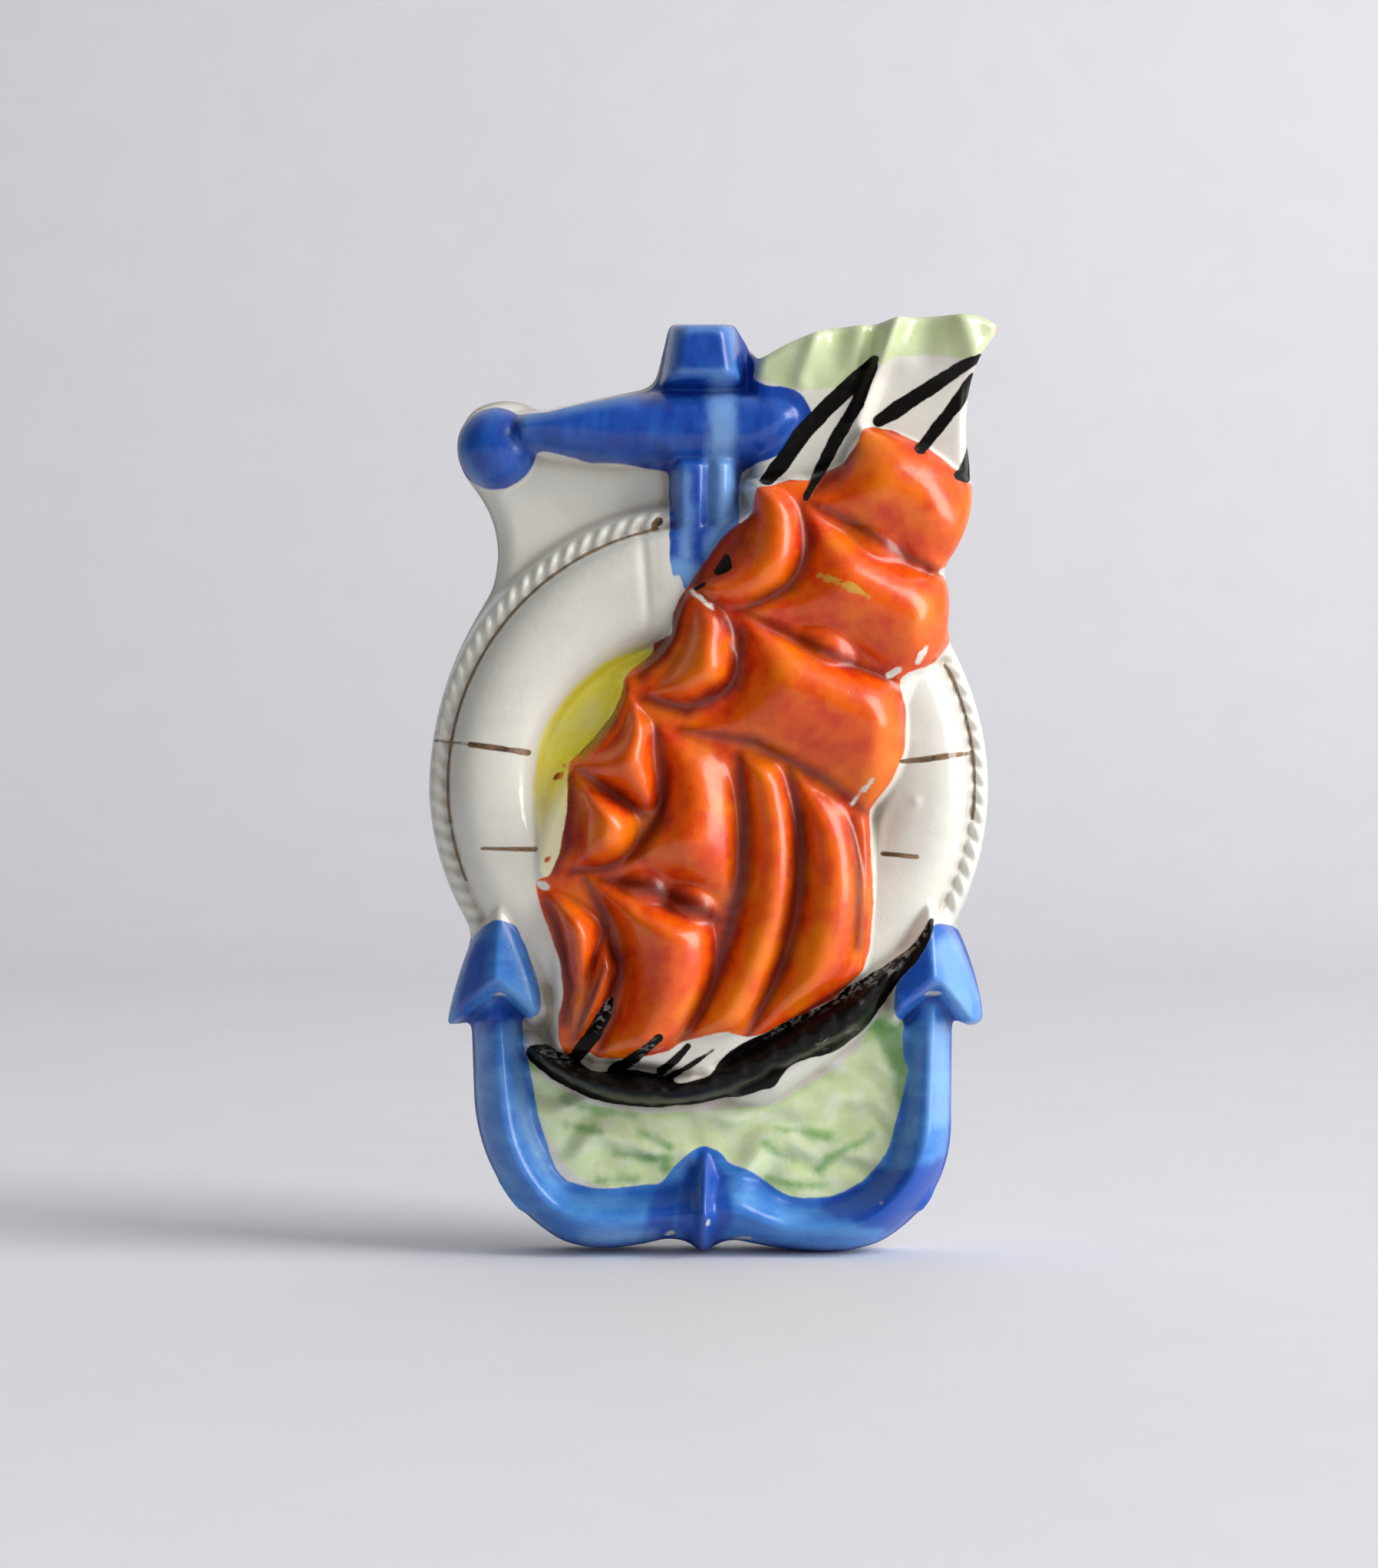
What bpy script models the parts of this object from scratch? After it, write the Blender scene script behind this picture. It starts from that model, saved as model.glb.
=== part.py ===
"""A ceramic wall pocket: one hollow, slip-cast body with a flat back, a mouth at the top right and a
ship in full sail, a lifebelt and an anchor in relief on its front.

The front faces -Y, the flat back lies in the plane Y = 0 and +Z is up. The origin is on the back, on
the patch of flat wall that bears on the wall above the nail hole.
"""

import bmesh
import bpy
import numpy as np

# Driving dimensions in metres
HEIGHT = 0.180
WALL = 0.004
NAIL_HOLE_DIAMETER = 0.006
NAIL_HOLE_BELOW_TOP = 0.028
NAIL_HOLE_BELOW_BEARING = 0.008
BEARING_HEIGHT = HEIGHT - NAIL_HOLE_BELOW_TOP + NAIL_HOLE_BELOW_BEARING
MOUTH_WIDTH = 0.0315
MOUTH_LEFT = 0.0145
MOUTH_DEPTH = 0.028

# Depths of the relief in metres, measured forward from the flat back
EDGE_DEPTH = 0.009
GROUND_DEPTH = 0.0135
DISC_DEPTH = 0.018
RING_EDGE_DEPTH = 0.0175
RING_CREST_DEPTH = 0.0255
SEA_DEPTH = 0.015
WAVE_HEIGHT = 0.0007
SKY_DEPTH = 0.020
LIP_FLARE = 0.0025
FOLD_HEIGHT = 0.0012
SHIP_EDGE_DEPTH = 0.021
SHIP_CREST_DEPTH = 0.0305
SAIL_RISE = 0.0062
FOLD_DROP = 0.0012
HULL_DEPTH = 0.0225
HULL_RISE = 0.0062
ANCHOR_FLOOR_DEPTH = 0.0125
ARM_RISE = 0.0095
FLUKE_RISE = 0.0115
CROWN_RISE = 0.0135
SHANK_RISE = 0.0095
SHANK_GROOVE_DEPTH = 0.0009
STOCK_RISE = 0.0100
HEAD_RISE = 0.0115
ROPE_RISE = 0.0016
GLAZE_SOFTNESS = 0.0009

# The carving is drawn on a sheet of 180 units over the height, so it keeps its shape as a share of
# the height. X runs right from the middle of the anchor and Z up from the tip of its crown.
SHEET_HEIGHT = 180.0
UNIT = HEIGHT / SHEET_HEIGHT
SHEET_LEFT = -54.0
SHEET_RIGHT = 62.0
SHEET_BOTTOM = -5.0
SHEET_TOP = 186.0
RELIEF_STEP = 1.0
CORE_STEP = 4.5
ARC_STEPS = 8
SIDE_SLOPE = 4.0
RELIEF_SHARE_KEPT = 0.068

RING_CENTRE = (1.0, 90.5)
RING_RADIUS = 50.0
RING_FULLNESS = 2.4
RING_HOLE_HALF_WIDTH = 32.5
RING_HOLE_HALF_HEIGHT = 28.0
ROPE_RADIUS = 51.9
ROPE_HALF_WIDTH = 1.9
BALL_CENTRE = (-40.2, 155.5)
BALL_RADIUS = 7.9
SHIP_CENTRE = (8.0, 82.0)
SHIP_HALF_WIDTH = 48.0
SHIP_HALF_HEIGHT = 84.0
LIP_START = 167.0
LIP_BAND = 8.0
SHANK_GROOVE_PLACE = 1.0

# Closed outlines, clockwise as the front is seen. Each corner gives x, z and the bow of the side that
# follows it, outward being positive. A relief form adds the width over which that side rolls off.
BODY_OUTLINE = (
    (-6.5, 179.8, 0.0), (5.8, 179.8, 0.3), (10.6, 171.7, 0.6), (24.0, 177.8, 0.1),
    (33.0, 178.6, 0.0), (37.0, 179.8, 0.1), (52.2, 180.3, 0.3), (56.9, 177.7, -1.0),
    (51.2, 167.5, -0.2), (50.4, 157.0, 3.2), (45.9, 132.0, 0.8), (46.3, 120.0, 7.2),
    (48.8, 63.8, 0.8), (54.0, 46.2, 0.9), (51.5, 44.0, 0.2), (48.2, 45.6, 0.0),
    (48.0, 27.0, 6.8), (27.0, -0.3, 1.0), (6.0, 2.4, 0.0), (4.0, 2.0, 0.2),
    (0.0, -0.1, 0.2), (-4.2, 2.4, 0.3), (-7.0, 2.7, 0.7), (-22.0, 0.4, 6.3),
    (-44.4, 30.0, 0.0), (-45.0, 44.5, 0.0), (-49.6, 44.0, 0.4), (-44.8, 60.2, -0.6),
    (-46.8, 66.5, 1.3), (-52.9, 89.0, 2.9), (-41.2, 128.0, -3.2), (-45.8, 149.6, 2.3),
    (-45.0, 163.3, 2.3), (-31.0, 162.6, 0.2), (-12.0, 167.3, -0.4), (-9.2, 169.3, 0.0),
)
CORE_OUTLINE = (
    (12.0, 163.0, 0.0), (46.2, 163.0, 0.0), (46.2, 148.0, 1.0), (41.0, 134.0, 0.0), (41.0, 116.0, 6.5),
    (42.0, 66.0, 0.0), (33.0, 20.0, 2.0), (13.0, 19.0, 0.0), (0.0, 27.0, 0.0),
    (-12.0, 20.0, 2.0), (-26.0, 22.0, 2.0), (-41.0, 66.0, 6.0), (-36.0, 125.0, -2.0),
    (-38.0, 147.0, 0.0), (-9.0, 160.0, 0.0),
)
SEA_OUTLINE = (
    (-36.0, 38.0, -4.0), (38.0, 52.0, 0.0), (45.0, 52.0, 0.0), (45.0, 8.0, 0.0), (-41.0, 8.0, 0.0),
)
SKY_OUTLINE = (
    (10.0, 167.5, 0.0, 0.6), (11.2, 173.5, 0.0, 0.6), (20.0, 184.0, 0.0, 0.6), (60.0, 184.0, 0.0, 0.6),
    (50.9, 166.0, -0.2, 1.6), (50.4, 150.0, 0.0, 1.0), (30.0, 140.0, 0.0, 3.0), (10.0, 146.0, 0.0, 3.0),
)
TOP_SAILS = (
    (
        (20.5, 143.8, -1.8, 6.0), (29.9, 158.4, 2.4, 4.5), (50.9, 147.8, 2.4, 7.0),
        (46.3, 133.2, 0.5, 6.0), (43.5, 131.0, -1.0, 12.0),
    ),
    (
        (19.2, 143.2, -1.5, 2.4), (46.1, 129.3, 0.8, 7.0), (46.4, 119.0, 1.8, 6.0),
        (36.6, 110.6, -2.4, 12.0), (9.0, 123.6, -6.2, 6.0),
    ),
    (
        (6.0, 123.6, -1.3, 2.4), (36.8, 109.8, 0.8, 5.0), (37.6, 96.0, 0.9, 5.0),
        (31.5, 86.8, -2.7, 12.0), (-5.0, 100.6, -7.8, 6.0),
    ),
)
STAYSAILS = (
    (
        (9.6, 147.4, 0.8, 1.6), (17.4, 144.0, 7.3, 2.6), (4.0, 124.2, 0.3, 1.6),
        (-1.5, 128.0, -5.0, 5.0),
    ),
    ((-2.4, 127.2, 8.0, 2.6), (-1.0, 104.5, 0.8, 2.2), (-10.0, 108.3, -2.8, 4.0)),
    (
        (-15.2, 110.8, -0.8, 1.6), (-9.4, 102.0, -0.8, 2.0), (-8.5, 89.5, 1.0, 2.2),
        (-11.0, 85.0, -0.6, 6.0), (-25.5, 94.5, -5.6, 3.0),
    ),
    (
        (-24.2, 91.3, 0.2, 1.4), (-12.3, 84.5, 0.8, 2.2), (-15.5, 75.5, 0.0, 3.0),
        (-24.5, 75.2, -1.5, 3.0),
    ),
)
MAIN_SAILS = (
    (
        (-8.6, 101.2, -0.4, 2.4), (3.8, 96.4, 2.0, 3.0), (4.5, 66.6, -1.6, 5.0),
        (-9.8, 73.4, 0.0, 7.0), (-19.0, 74.0, -6.2, 5.0),
    ),
    ((6.8, 96.0, 0.2, 2.4), (14.2, 94.5, 6.4, 3.2), (7.2, 43.5, 0.0, 2.4), (-4.0, 42.0, -6.6, 6.5)),
    (
        (16.5, 94.0, -1.0, 2.4), (26.0, 87.4, 3.4, 3.2), (27.2, 54.0, -0.4, 2.4),
        (8.0, 42.0, -6.6, 6.5),
    ),
    (
        (-22.6, 73.4, -0.6, 2.0), (-11.0, 69.0, -1.0, 2.0), (1.4, 65.4, 3.2, 3.2),
        (-5.5, 40.4, 0.0, 2.4), (-20.6, 38.6, -7.2, 6.0),
    ),
    (
        (-30.0, 70.3, 0.6, 1.4), (-19.6, 64.4, 1.6, 2.0), (-25.6, 39.5, 0.0, 2.0),
        (-25.2, 52.0, -0.9, 2.4),
    ),
    ((-18.4, 63.0, -0.6, 1.2), (-16.2, 56.0, 1.0, 1.4), (-24.6, 41.0, 0.6, 1.4)),
)
SAIL_BED = (
    (-2.0, 128.6, 1.6, 1.2), (9.8, 143.0, 0.0, 1.2), (10.0, 147.6, 0.4, 1.2), (20.0, 148.7, 0.0, 1.2),
    (26.5, 151.8, 0.6, 1.2), (30.0, 158.0, 0.0, 2.0), (42.0, 145.0, 0.0, 2.0), (43.0, 118.0, 0.0, 2.0),
    (36.0, 100.0, 0.0, 2.0), (31.0, 84.0, 1.0, 1.2), (30.3, 55.0, 0.0, 1.2), (0.0, 36.0, 0.0, 1.2),
    (-28.0, 40.0, -1.2, 1.2), (-32.3, 73.4, 0.8, 1.2), (-25.8, 93.5, -2.4, 1.2),
    (-14.6, 111.6, -1.2, 1.2), (-6.0, 119.0, 0.6, 1.2),
)
HULL = (
    (-34.0, 41.0, -2.2, 2.8), (-7.0, 34.7, -1.4, 2.8), (22.0, 48.0, -1.4, 2.8), (43.4, 65.2, 0.0, 1.5),
    (44.2, 63.6, 0.0, 3.0), (31.0, 43.5, 0.3, 3.2), (14.5, 34.5, 1.6, 3.2), (-9.8, 28.3, 2.8, 3.2),
)
HULL_SIDE = (
    (0.0, 32.0, 0.0, 3.0), (34.0, 52.0, 0.0, 3.0), (35.5, 47.0, 0.8, 4.5), (12.0, 28.8, 0.6, 4.5),
)
LEFT_ARM = (
    (-5.0, 2.8, 0.5, 5.0), (-22.0, 0.3, 6.3, 5.2), (-44.4, 30.0, 0.0, 5.2), (-44.9, 50.0, 0.0, 3.0),
    (-35.3, 50.0, 0.0, 5.2), (-32.0, 27.0, -0.8, 5.2), (-26.5, 14.0, -0.9, 5.0), (-8.6, 13.2, 0.0, 4.0),
)
RIGHT_ARM = (
    (8.0, 16.4, -0.3, 5.0), (17.0, 10.9, -1.5, 5.0), (31.0, 14.2, -1.1, 5.2), (37.2, 25.8, -0.3, 5.2),
    (39.0, 50.0, 0.0, 3.0), (48.2, 50.0, 0.0, 5.2), (48.0, 27.0, 6.8, 5.2), (27.0, -0.3, 1.0, 5.0),
    (5.0, 2.6, 0.0, 4.0),
)
LEFT_FLUKE = (
    (-38.8, 67.8, 0.6, 7.0), (-30.9, 47.2, 0.0, 3.0), (-32.4, 46.1, -0.3, 3.0), (-39.3, 50.6, 0.3, 3.0),
    (-49.6, 43.8, 1.0, 7.0),
)
RIGHT_FLUKE = (
    (43.8, 66.6, 0.2, 4.0), (48.6, 64.0, 0.9, 7.0), (54.0, 46.2, 0.8, 3.0), (50.4, 44.4, 0.2, 3.0),
    (44.0, 50.8, 0.3, 3.0), (36.5, 46.0, 0.2, 3.0), (37.6, 52.0, 0.2, 7.0),
)
CROWN = ((0.2, 21.2, 0.5, 5.5), (5.6, 8.5, 0.7, 5.5), (0.0, -0.3, 0.7, 5.5), (-5.6, 8.5, 0.5, 5.5))
CROWN_SHOULDER = (
    (-9.6, 13.4, 0.6, 8.0), (0.2, 21.0, 0.6, 8.0), (9.4, 15.8, 0.0, 6.0), (9.4, 2.6, 0.0, 8.0),
    (-9.4, 2.6, 0.0, 8.0),
)
SHANK = ((-6.6, 127.0, 0.0, 3.0), (-6.6, 153.0, 0.0, 1.0), (6.6, 153.0, 0.0, 3.0), (6.6, 127.0, 0.0, 6.0))
STOCK = (
    (-34.5, 159.6, 0.2, 4.0), (-11.0, 166.6, 0.0, 6.4), (17.6, 166.4, 1.4, 6.4), (20.4, 158.6, 0.5, 5.0),
    (7.5, 151.2, 0.0, 6.4), (-11.0, 151.4, 0.6, 6.4), (-34.5, 156.4, 0.0, 3.0),
)
HEAD = ((-8.4, 167.0, 0.0, 2.4), (-6.6, 179.5, 0.0, 2.4), (6.2, 179.5, 0.0, 2.4), (8.0, 167.0, 0.0, 2.4))

# Folds of the pocket's lip: the two ends of each crease, its half width and its height as a share of
# the fold height, negative for a hollow.
LIP_FOLDS = (
    ((37.5, 181.0), (29.5, 160.0), 1.6, 1.3),
    ((33.4, 181.0), (31.0, 171.0), 1.5, -1.2),
    ((21.5, 176.0), (18.5, 168.0), 1.6, 0.8),
    ((26.0, 178.0), (25.5, 173.0), 3.0, -1.0),
    ((42.5, 181.0), (42.0, 174.0), 3.5, -0.9),
    ((49.0, 181.0), (51.5, 172.5), 2.2, 0.9),
)
# Round knots and blocks that show between the sails: centre, radius and rise in units
KNOTS = (
    ((33.0, 136.6), 2.2, 1.8), ((23.5, 116.6), 2.3, 2.0), ((-11.5, 71.4), 1.6, 1.2), ((-2.2, 68.2), 2.2, 2.0),
)


def bowed_side(start, end, bow):
    """Points along a parabola from start to end that swells by the bow to its left."""
    share = np.linspace(0.0, 1.0, ARC_STEPS + 1)
    run, climb = end[0] - start[0], end[1] - start[1]
    swell = 4.0 * bow * share * (1.0 - share) / np.hypot(run, climb)
    return np.stack([start[0] + run * share - climb * swell, start[1] + climb * share + run * swell], axis=1)


def sides_of(corners):
    """The bowed sides of a closed outline, one array of points each."""
    following = corners[1:] + corners[:1]
    return [bowed_side(a[:2], b[:2], a[2]) for a, b in zip(corners, following)]


def closed_loop(corners):
    """The whole outline as one loop of points, without the doubled corners."""
    return np.concatenate([side[:-1] for side in sides_of(corners)])


def distance_to_line(x, z, points):
    """The shortest distance from each place on the sheet to a line of points."""
    nearest = np.full(x.shape, np.inf)
    for start, end in zip(points[:-1], points[1:]):
        run, climb = end - start
        along = ((x - start[0]) * run + (z - start[1]) * climb) / (run * run + climb * climb)
        along = np.clip(along, 0.0, 1.0)
        gap = np.hypot(x - start[0] - along * run, z - start[1] - along * climb)
        nearest = np.minimum(nearest, gap)
    return nearest


def inside_loop(x, z, loop):
    """True where a place on the sheet lies inside the loop, by counting the sides to its right."""
    inside = np.zeros(x.shape, dtype=bool)
    for start, end in zip(loop, np.roll(loop, -1, axis=0)):
        if start[1] == end[1]:
            continue
        crosses = (start[1] > z) != (end[1] > z)
        crossing = start[0] + (z - start[1]) * (end[0] - start[0]) / (end[1] - start[1])
        inside ^= crosses & (x < crossing)
    return inside


def soft_max(first, second):
    """The higher of two surfaces, with the crease between them filled as glaze fills it."""
    near = np.maximum(1.0 - np.abs(first - second) / GLAZE_SOFTNESS, 0.0)
    return np.maximum(first, second) + near * near * GLAZE_SOFTNESS / 4.0


def quarter_round(share):
    """A rounded shoulder: 0 at the edge, 1 and level where the share reaches 1."""
    share = np.clip(share, 0.0, 1.0)
    return np.sqrt(1.0 - (1.0 - share) ** 2)


def laid_on(depth, x, z, corners, floor, rise, roof=False):
    """Lays one raised form on the relief. A roof has flat slopes that meet in a ridge, and any other
    form is a cushion that rolls off to each side over that side's own width."""
    height = np.ones(x.shape)
    outside = np.full(x.shape, np.inf)
    for side, corner in zip(sides_of(corners), corners):
        gap = distance_to_line(x, z, side)
        outside = np.minimum(outside, gap)
        if roof:
            height = np.minimum(height, gap / corner[3])
        else:
            height = height * quarter_round(gap / corner[3])
    inside = inside_loop(x, z, closed_loop(corners))
    form = np.where(inside, floor + rise * height, floor - outside * UNIT * SIDE_SLOPE)
    return soft_max(depth, form)


def crease(x, z, start, end, half_width):
    """A soft ridge along a line, 1 on the line and fading to both sides and past its ends."""
    gap = distance_to_line(x, z, np.array([start, end]))
    return np.exp(-((gap / half_width) ** 2))


def ground(x, z):
    """The plain plate behind everything, rounded down to the edge of the body."""
    gap = distance_to_line(x, z, np.vstack([closed_loop(BODY_OUTLINE), closed_loop(BODY_OUTLINE)[:1]]))
    inside = inside_loop(x, z, closed_loop(BODY_OUTLINE))
    rounding = quarter_round(gap * UNIT / (GROUND_DEPTH - EDGE_DEPTH))
    return EDGE_DEPTH + np.where(inside, (GROUND_DEPTH - EDGE_DEPTH) * rounding, 0.0)


def lifebelt(x, z, depth):
    """The lifebelt with its rope, and the level disc inside it."""
    across, up = x - RING_CENTRE[0], z - RING_CENTRE[1]
    radius = np.hypot(across, up)
    turn = np.arctan2(up, across)
    wide = RING_HOLE_HALF_HEIGHT * np.cos(turn)
    high = RING_HOLE_HALF_WIDTH * np.sin(turn)
    hole = RING_HOLE_HALF_WIDTH * RING_HOLE_HALF_HEIGHT / np.hypot(wide, high)
    place = np.clip(2.0 * (radius - hole) / (RING_RADIUS - hole) - 1.0, -1.0, 1.0)
    dome = (1.0 - np.abs(place) ** RING_FULLNESS) ** (1.0 / RING_FULLNESS)
    ring = RING_EDGE_DEPTH + (RING_CREST_DEPTH - RING_EDGE_DEPTH) * dome
    ring = np.where(radius < hole, DISC_DEPTH, ring)
    edge = ROPE_RADIUS + ROPE_HALF_WIDTH
    ring = np.where(radius > edge, RING_EDGE_DEPTH - (radius - edge) * UNIT * SIDE_SLOPE, ring)
    off_rope = np.clip(np.abs(radius - ROPE_RADIUS) / ROPE_HALF_WIDTH, 0.0, 1.0)
    ring = ring + ROPE_RISE * np.sqrt(1.0 - off_rope**2)
    return soft_max(depth, ring)


def sea(x, z, depth):
    """The rippled panel of sea, sunk between the anchor's arms and the hull."""
    waves = np.sin(0.55 * z + 0.9 * np.sin(0.16 * x + 1.0)) + 0.7 * np.sin(0.31 * z - 0.35 * x)
    return np.where(inside_loop(x, z, closed_loop(SEA_OUTLINE)), SEA_DEPTH + WAVE_HEIGHT * waves, depth)


def sky(x, z, depth):
    """The front wall of the mouth, whose folded lip flares forward."""
    flare = np.clip((z - LIP_START) / LIP_BAND, 0.0, 1.0)
    floor = SKY_DEPTH + LIP_FLARE * flare * flare * (3.0 - 2.0 * flare)
    for start, end, half_width, share in LIP_FOLDS:
        floor = floor + FOLD_HEIGHT * share * crease(x, z, start, end, half_width)
    return laid_on(depth, x, z, SKY_OUTLINE, floor - FOLD_HEIGHT, FOLD_HEIGHT)


def swell_of_ship(x, z):
    """The broad swell that carries the sails, highest amidships."""
    off = ((x - SHIP_CENTRE[0]) / SHIP_HALF_WIDTH) ** 2 + ((z - SHIP_CENTRE[1]) / SHIP_HALF_HEIGHT) ** 2
    return SHIP_EDGE_DEPTH + (SHIP_CREST_DEPTH - SHIP_EDGE_DEPTH) * np.exp(-off * off)


def ship(x, z, depth):
    """The sails on their bed, the knots between them and the hull."""
    swell = swell_of_ship(x, z)
    depth = laid_on(depth, x, z, SAIL_BED, swell - 2.0 * FOLD_DROP, FOLD_DROP)
    for (centre_x, centre_z), radius, rise in KNOTS:
        off = np.hypot(x - centre_x, z - centre_z) / radius
        depth = soft_max(depth, swell + rise * UNIT * (1.0 - off * off))
    for sail in TOP_SAILS + STAYSAILS + MAIN_SAILS:
        depth = laid_on(depth, x, z, sail, swell - FOLD_DROP, SAIL_RISE)
    depth = laid_on(depth, x, z, HULL_SIDE, SEA_DEPTH, HULL_DEPTH - SEA_DEPTH)
    return laid_on(depth, x, z, HULL, HULL_DEPTH, HULL_RISE)


def anchor(x, z, depth):
    """The anchor: arms, flukes and crown below, shank, stock, head and ball above."""
    floor = ANCHOR_FLOOR_DEPTH
    for arm in (LEFT_ARM, RIGHT_ARM):
        depth = laid_on(depth, x, z, arm, floor, ARM_RISE, roof=True)
    depth = laid_on(depth, x, z, CROWN_SHOULDER, floor, ARM_RISE, roof=True)
    for fluke in (LEFT_FLUKE, RIGHT_FLUKE):
        depth = laid_on(depth, x, z, fluke, floor, FLUKE_RISE, roof=True)
    depth = laid_on(depth, x, z, CROWN, floor, CROWN_RISE, roof=True)
    groove = SHANK_GROOVE_DEPTH * np.exp(-((x - SHANK_GROOVE_PLACE) ** 2))
    depth = laid_on(depth, x, z, SHANK, floor - groove, SHANK_RISE)
    depth = laid_on(depth, x, z, STOCK, floor, STOCK_RISE)
    depth = laid_on(depth, x, z, HEAD, floor, HEAD_RISE, roof=True)
    off = np.clip(np.hypot(x - BALL_CENTRE[0], z - BALL_CENTRE[1]) / BALL_RADIUS, 0.0, 1.0)
    ball = floor + BALL_RADIUS * UNIT * np.sqrt(1.0 - off * off)
    return soft_max(depth, np.where(off < 1.0, ball, 0.0))


def front_depth(x, z):
    """How far the front of the body stands forward of its flat back, at each place on the sheet."""
    depth = ground(x, z)
    depth = lifebelt(x, z, depth)
    depth = sea(x, z, depth)
    depth = sky(x, z, depth)
    # The sails stand in front of the shank, so the anchor is laid under them.
    return ship(x, z, anchor(x, z, depth))


def core_depth(x, z):
    """The inside of the front wall: the outside moved in by the wall, as slip settles in a mould."""
    reach = WALL / UNIT
    loop = closed_loop(BODY_OUTLINE)
    depth = np.full(x.shape, np.inf)
    for ring_share, count in ((0.0, 1), (0.5, 8), (1.0, 12)):
        for turn in np.arange(count) * 2.0 * np.pi / count:
            near_x = x + reach * ring_share * np.cos(turn)
            near_z = z + reach * ring_share * np.sin(turn)
            near = np.where(inside_loop(near_x, near_z, loop), front_depth(near_x, near_z), 0.0)
            depth = np.minimum(depth, near - WALL * np.sqrt(1.0 - ring_share**2))
    return depth


def sheet_to_world(x, z):
    """The world position in the plane of the back of a place on the sheet."""
    return x * UNIT, z * UNIT - BEARING_HEIGHT


def link_object(name, shape, collection):
    """Turns a bmesh into an object in a collection."""
    mesh = bpy.data.meshes.new(name)
    bmesh.ops.recalc_face_normals(shape, faces=shape.faces)
    shape.to_mesh(mesh)
    shape.free()
    made = bpy.data.objects.new(name, mesh)
    collection.objects.link(made)
    return made


def relief_block(name, step, depth_at, back, collection):
    """A block over the whole sheet: a grid whose points stand forward by the relief, closed to the back."""
    columns = round((SHEET_RIGHT - SHEET_LEFT) / step)
    rows = round((SHEET_TOP - SHEET_BOTTOM) / step)
    shape = bmesh.new()
    bmesh.ops.create_grid(shape, x_segments=columns, y_segments=rows, size=0.5)
    places = np.array([vertex.co[:2] for vertex in shape.verts]) + 0.5
    x = SHEET_LEFT + places[:, 0] * (SHEET_RIGHT - SHEET_LEFT)
    z = SHEET_BOTTOM + places[:, 1] * (SHEET_TOP - SHEET_BOTTOM)
    world_x, world_z = sheet_to_world(x, z)
    depth = depth_at(x, z)
    for vertex, across, forward, up in zip(shape.verts, world_x, depth, world_z):
        vertex.co = (across, -forward, up)
    swept = bmesh.ops.extrude_face_region(shape, geom=shape.faces[:])
    for vertex in swept["geom"]:
        if isinstance(vertex, bmesh.types.BMVert):
            vertex.co.y = back
    return link_object(name, shape, collection)


def outline_prism(name, corners, front, back, collection):
    """A closed outline drawn on the sheet and pulled from the front plane to the back plane."""
    shape = bmesh.new()
    world_x, world_z = sheet_to_world(*closed_loop(corners).T)
    rim = [shape.verts.new((across, front, up)) for across, up in zip(world_x, world_z)]
    swept = bmesh.ops.extrude_face_region(shape, geom=[shape.faces.new(rim)])
    for vertex in swept["geom"]:
        if isinstance(vertex, bmesh.types.BMVert):
            vertex.co.y = back
    return link_object(name, shape, collection)


def box(name, low, high, collection):
    """A plain block between two corners."""
    shape = bmesh.new()
    bmesh.ops.create_cube(shape, size=1.0)
    for vertex in shape.verts:
        vertex.co = [a + (b - a) * (share + 0.5) for a, b, share in zip(low, high, vertex.co)]
    return link_object(name, shape, collection)


def cut(target, cutter, operation):
    """Adds a Boolean and keeps its cutter out of the model."""
    cutter.hide_render = True
    cutter.display_type = "WIRE"
    modifier = target.modifiers.new(cutter.name, "BOOLEAN")
    modifier.solver = "EXACT"
    modifier.operation = operation
    modifier.object = cutter


def glaze_material():
    """White glaze over a pale body."""
    material = bpy.data.materials.new("white_glaze")
    material.use_nodes = True
    shader = material.node_tree.nodes["Principled BSDF"]
    shader.inputs["Base Color"].default_value = (0.74, 0.73, 0.70, 1.0)
    shader.inputs["Metallic"].default_value = 0.0
    shader.inputs["Roughness"].default_value = 0.12
    return material


def core_cutter(cutters):
    """The hollow: the eroded front relief, stopped at the back wall and at the core's outline."""
    core = relief_block("hollow", CORE_STEP, core_depth, 2.0 * WALL, cutters)
    room = outline_prism("hollow_outline", CORE_OUTLINE, -2.0 * SHIP_CREST_DEPTH, -WALL, cutters)
    cut(core, room, "INTERSECT")
    return core


def mouth_cutter(cutters):
    """The mouth: a slot down behind the folded lip into the hollow."""
    front = SKY_DEPTH - FOLD_HEIGHT - WALL
    above = SHEET_TOP * UNIT - BEARING_HEIGHT
    low = (MOUTH_LEFT, -front, HEIGHT - BEARING_HEIGHT - MOUTH_DEPTH)
    high = (MOUTH_LEFT + MOUTH_WIDTH, -WALL, above)
    return box("mouth", low, high, cutters)


def nail_hole_cutter(cutters):
    """The nail hole through the back wall, just below the patch that bears on the wall."""
    shape = bmesh.new()
    radius = NAIL_HOLE_DIAMETER / 2
    bmesh.ops.create_cone(
        shape, cap_ends=True, segments=24, radius1=radius, radius2=radius, depth=4.0 * WALL
    )
    hole = link_object("nail_hole", shape, cutters)
    hole.rotation_euler.x = np.pi / 2
    hole.location.z = -NAIL_HOLE_BELOW_BEARING
    return hole


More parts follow.
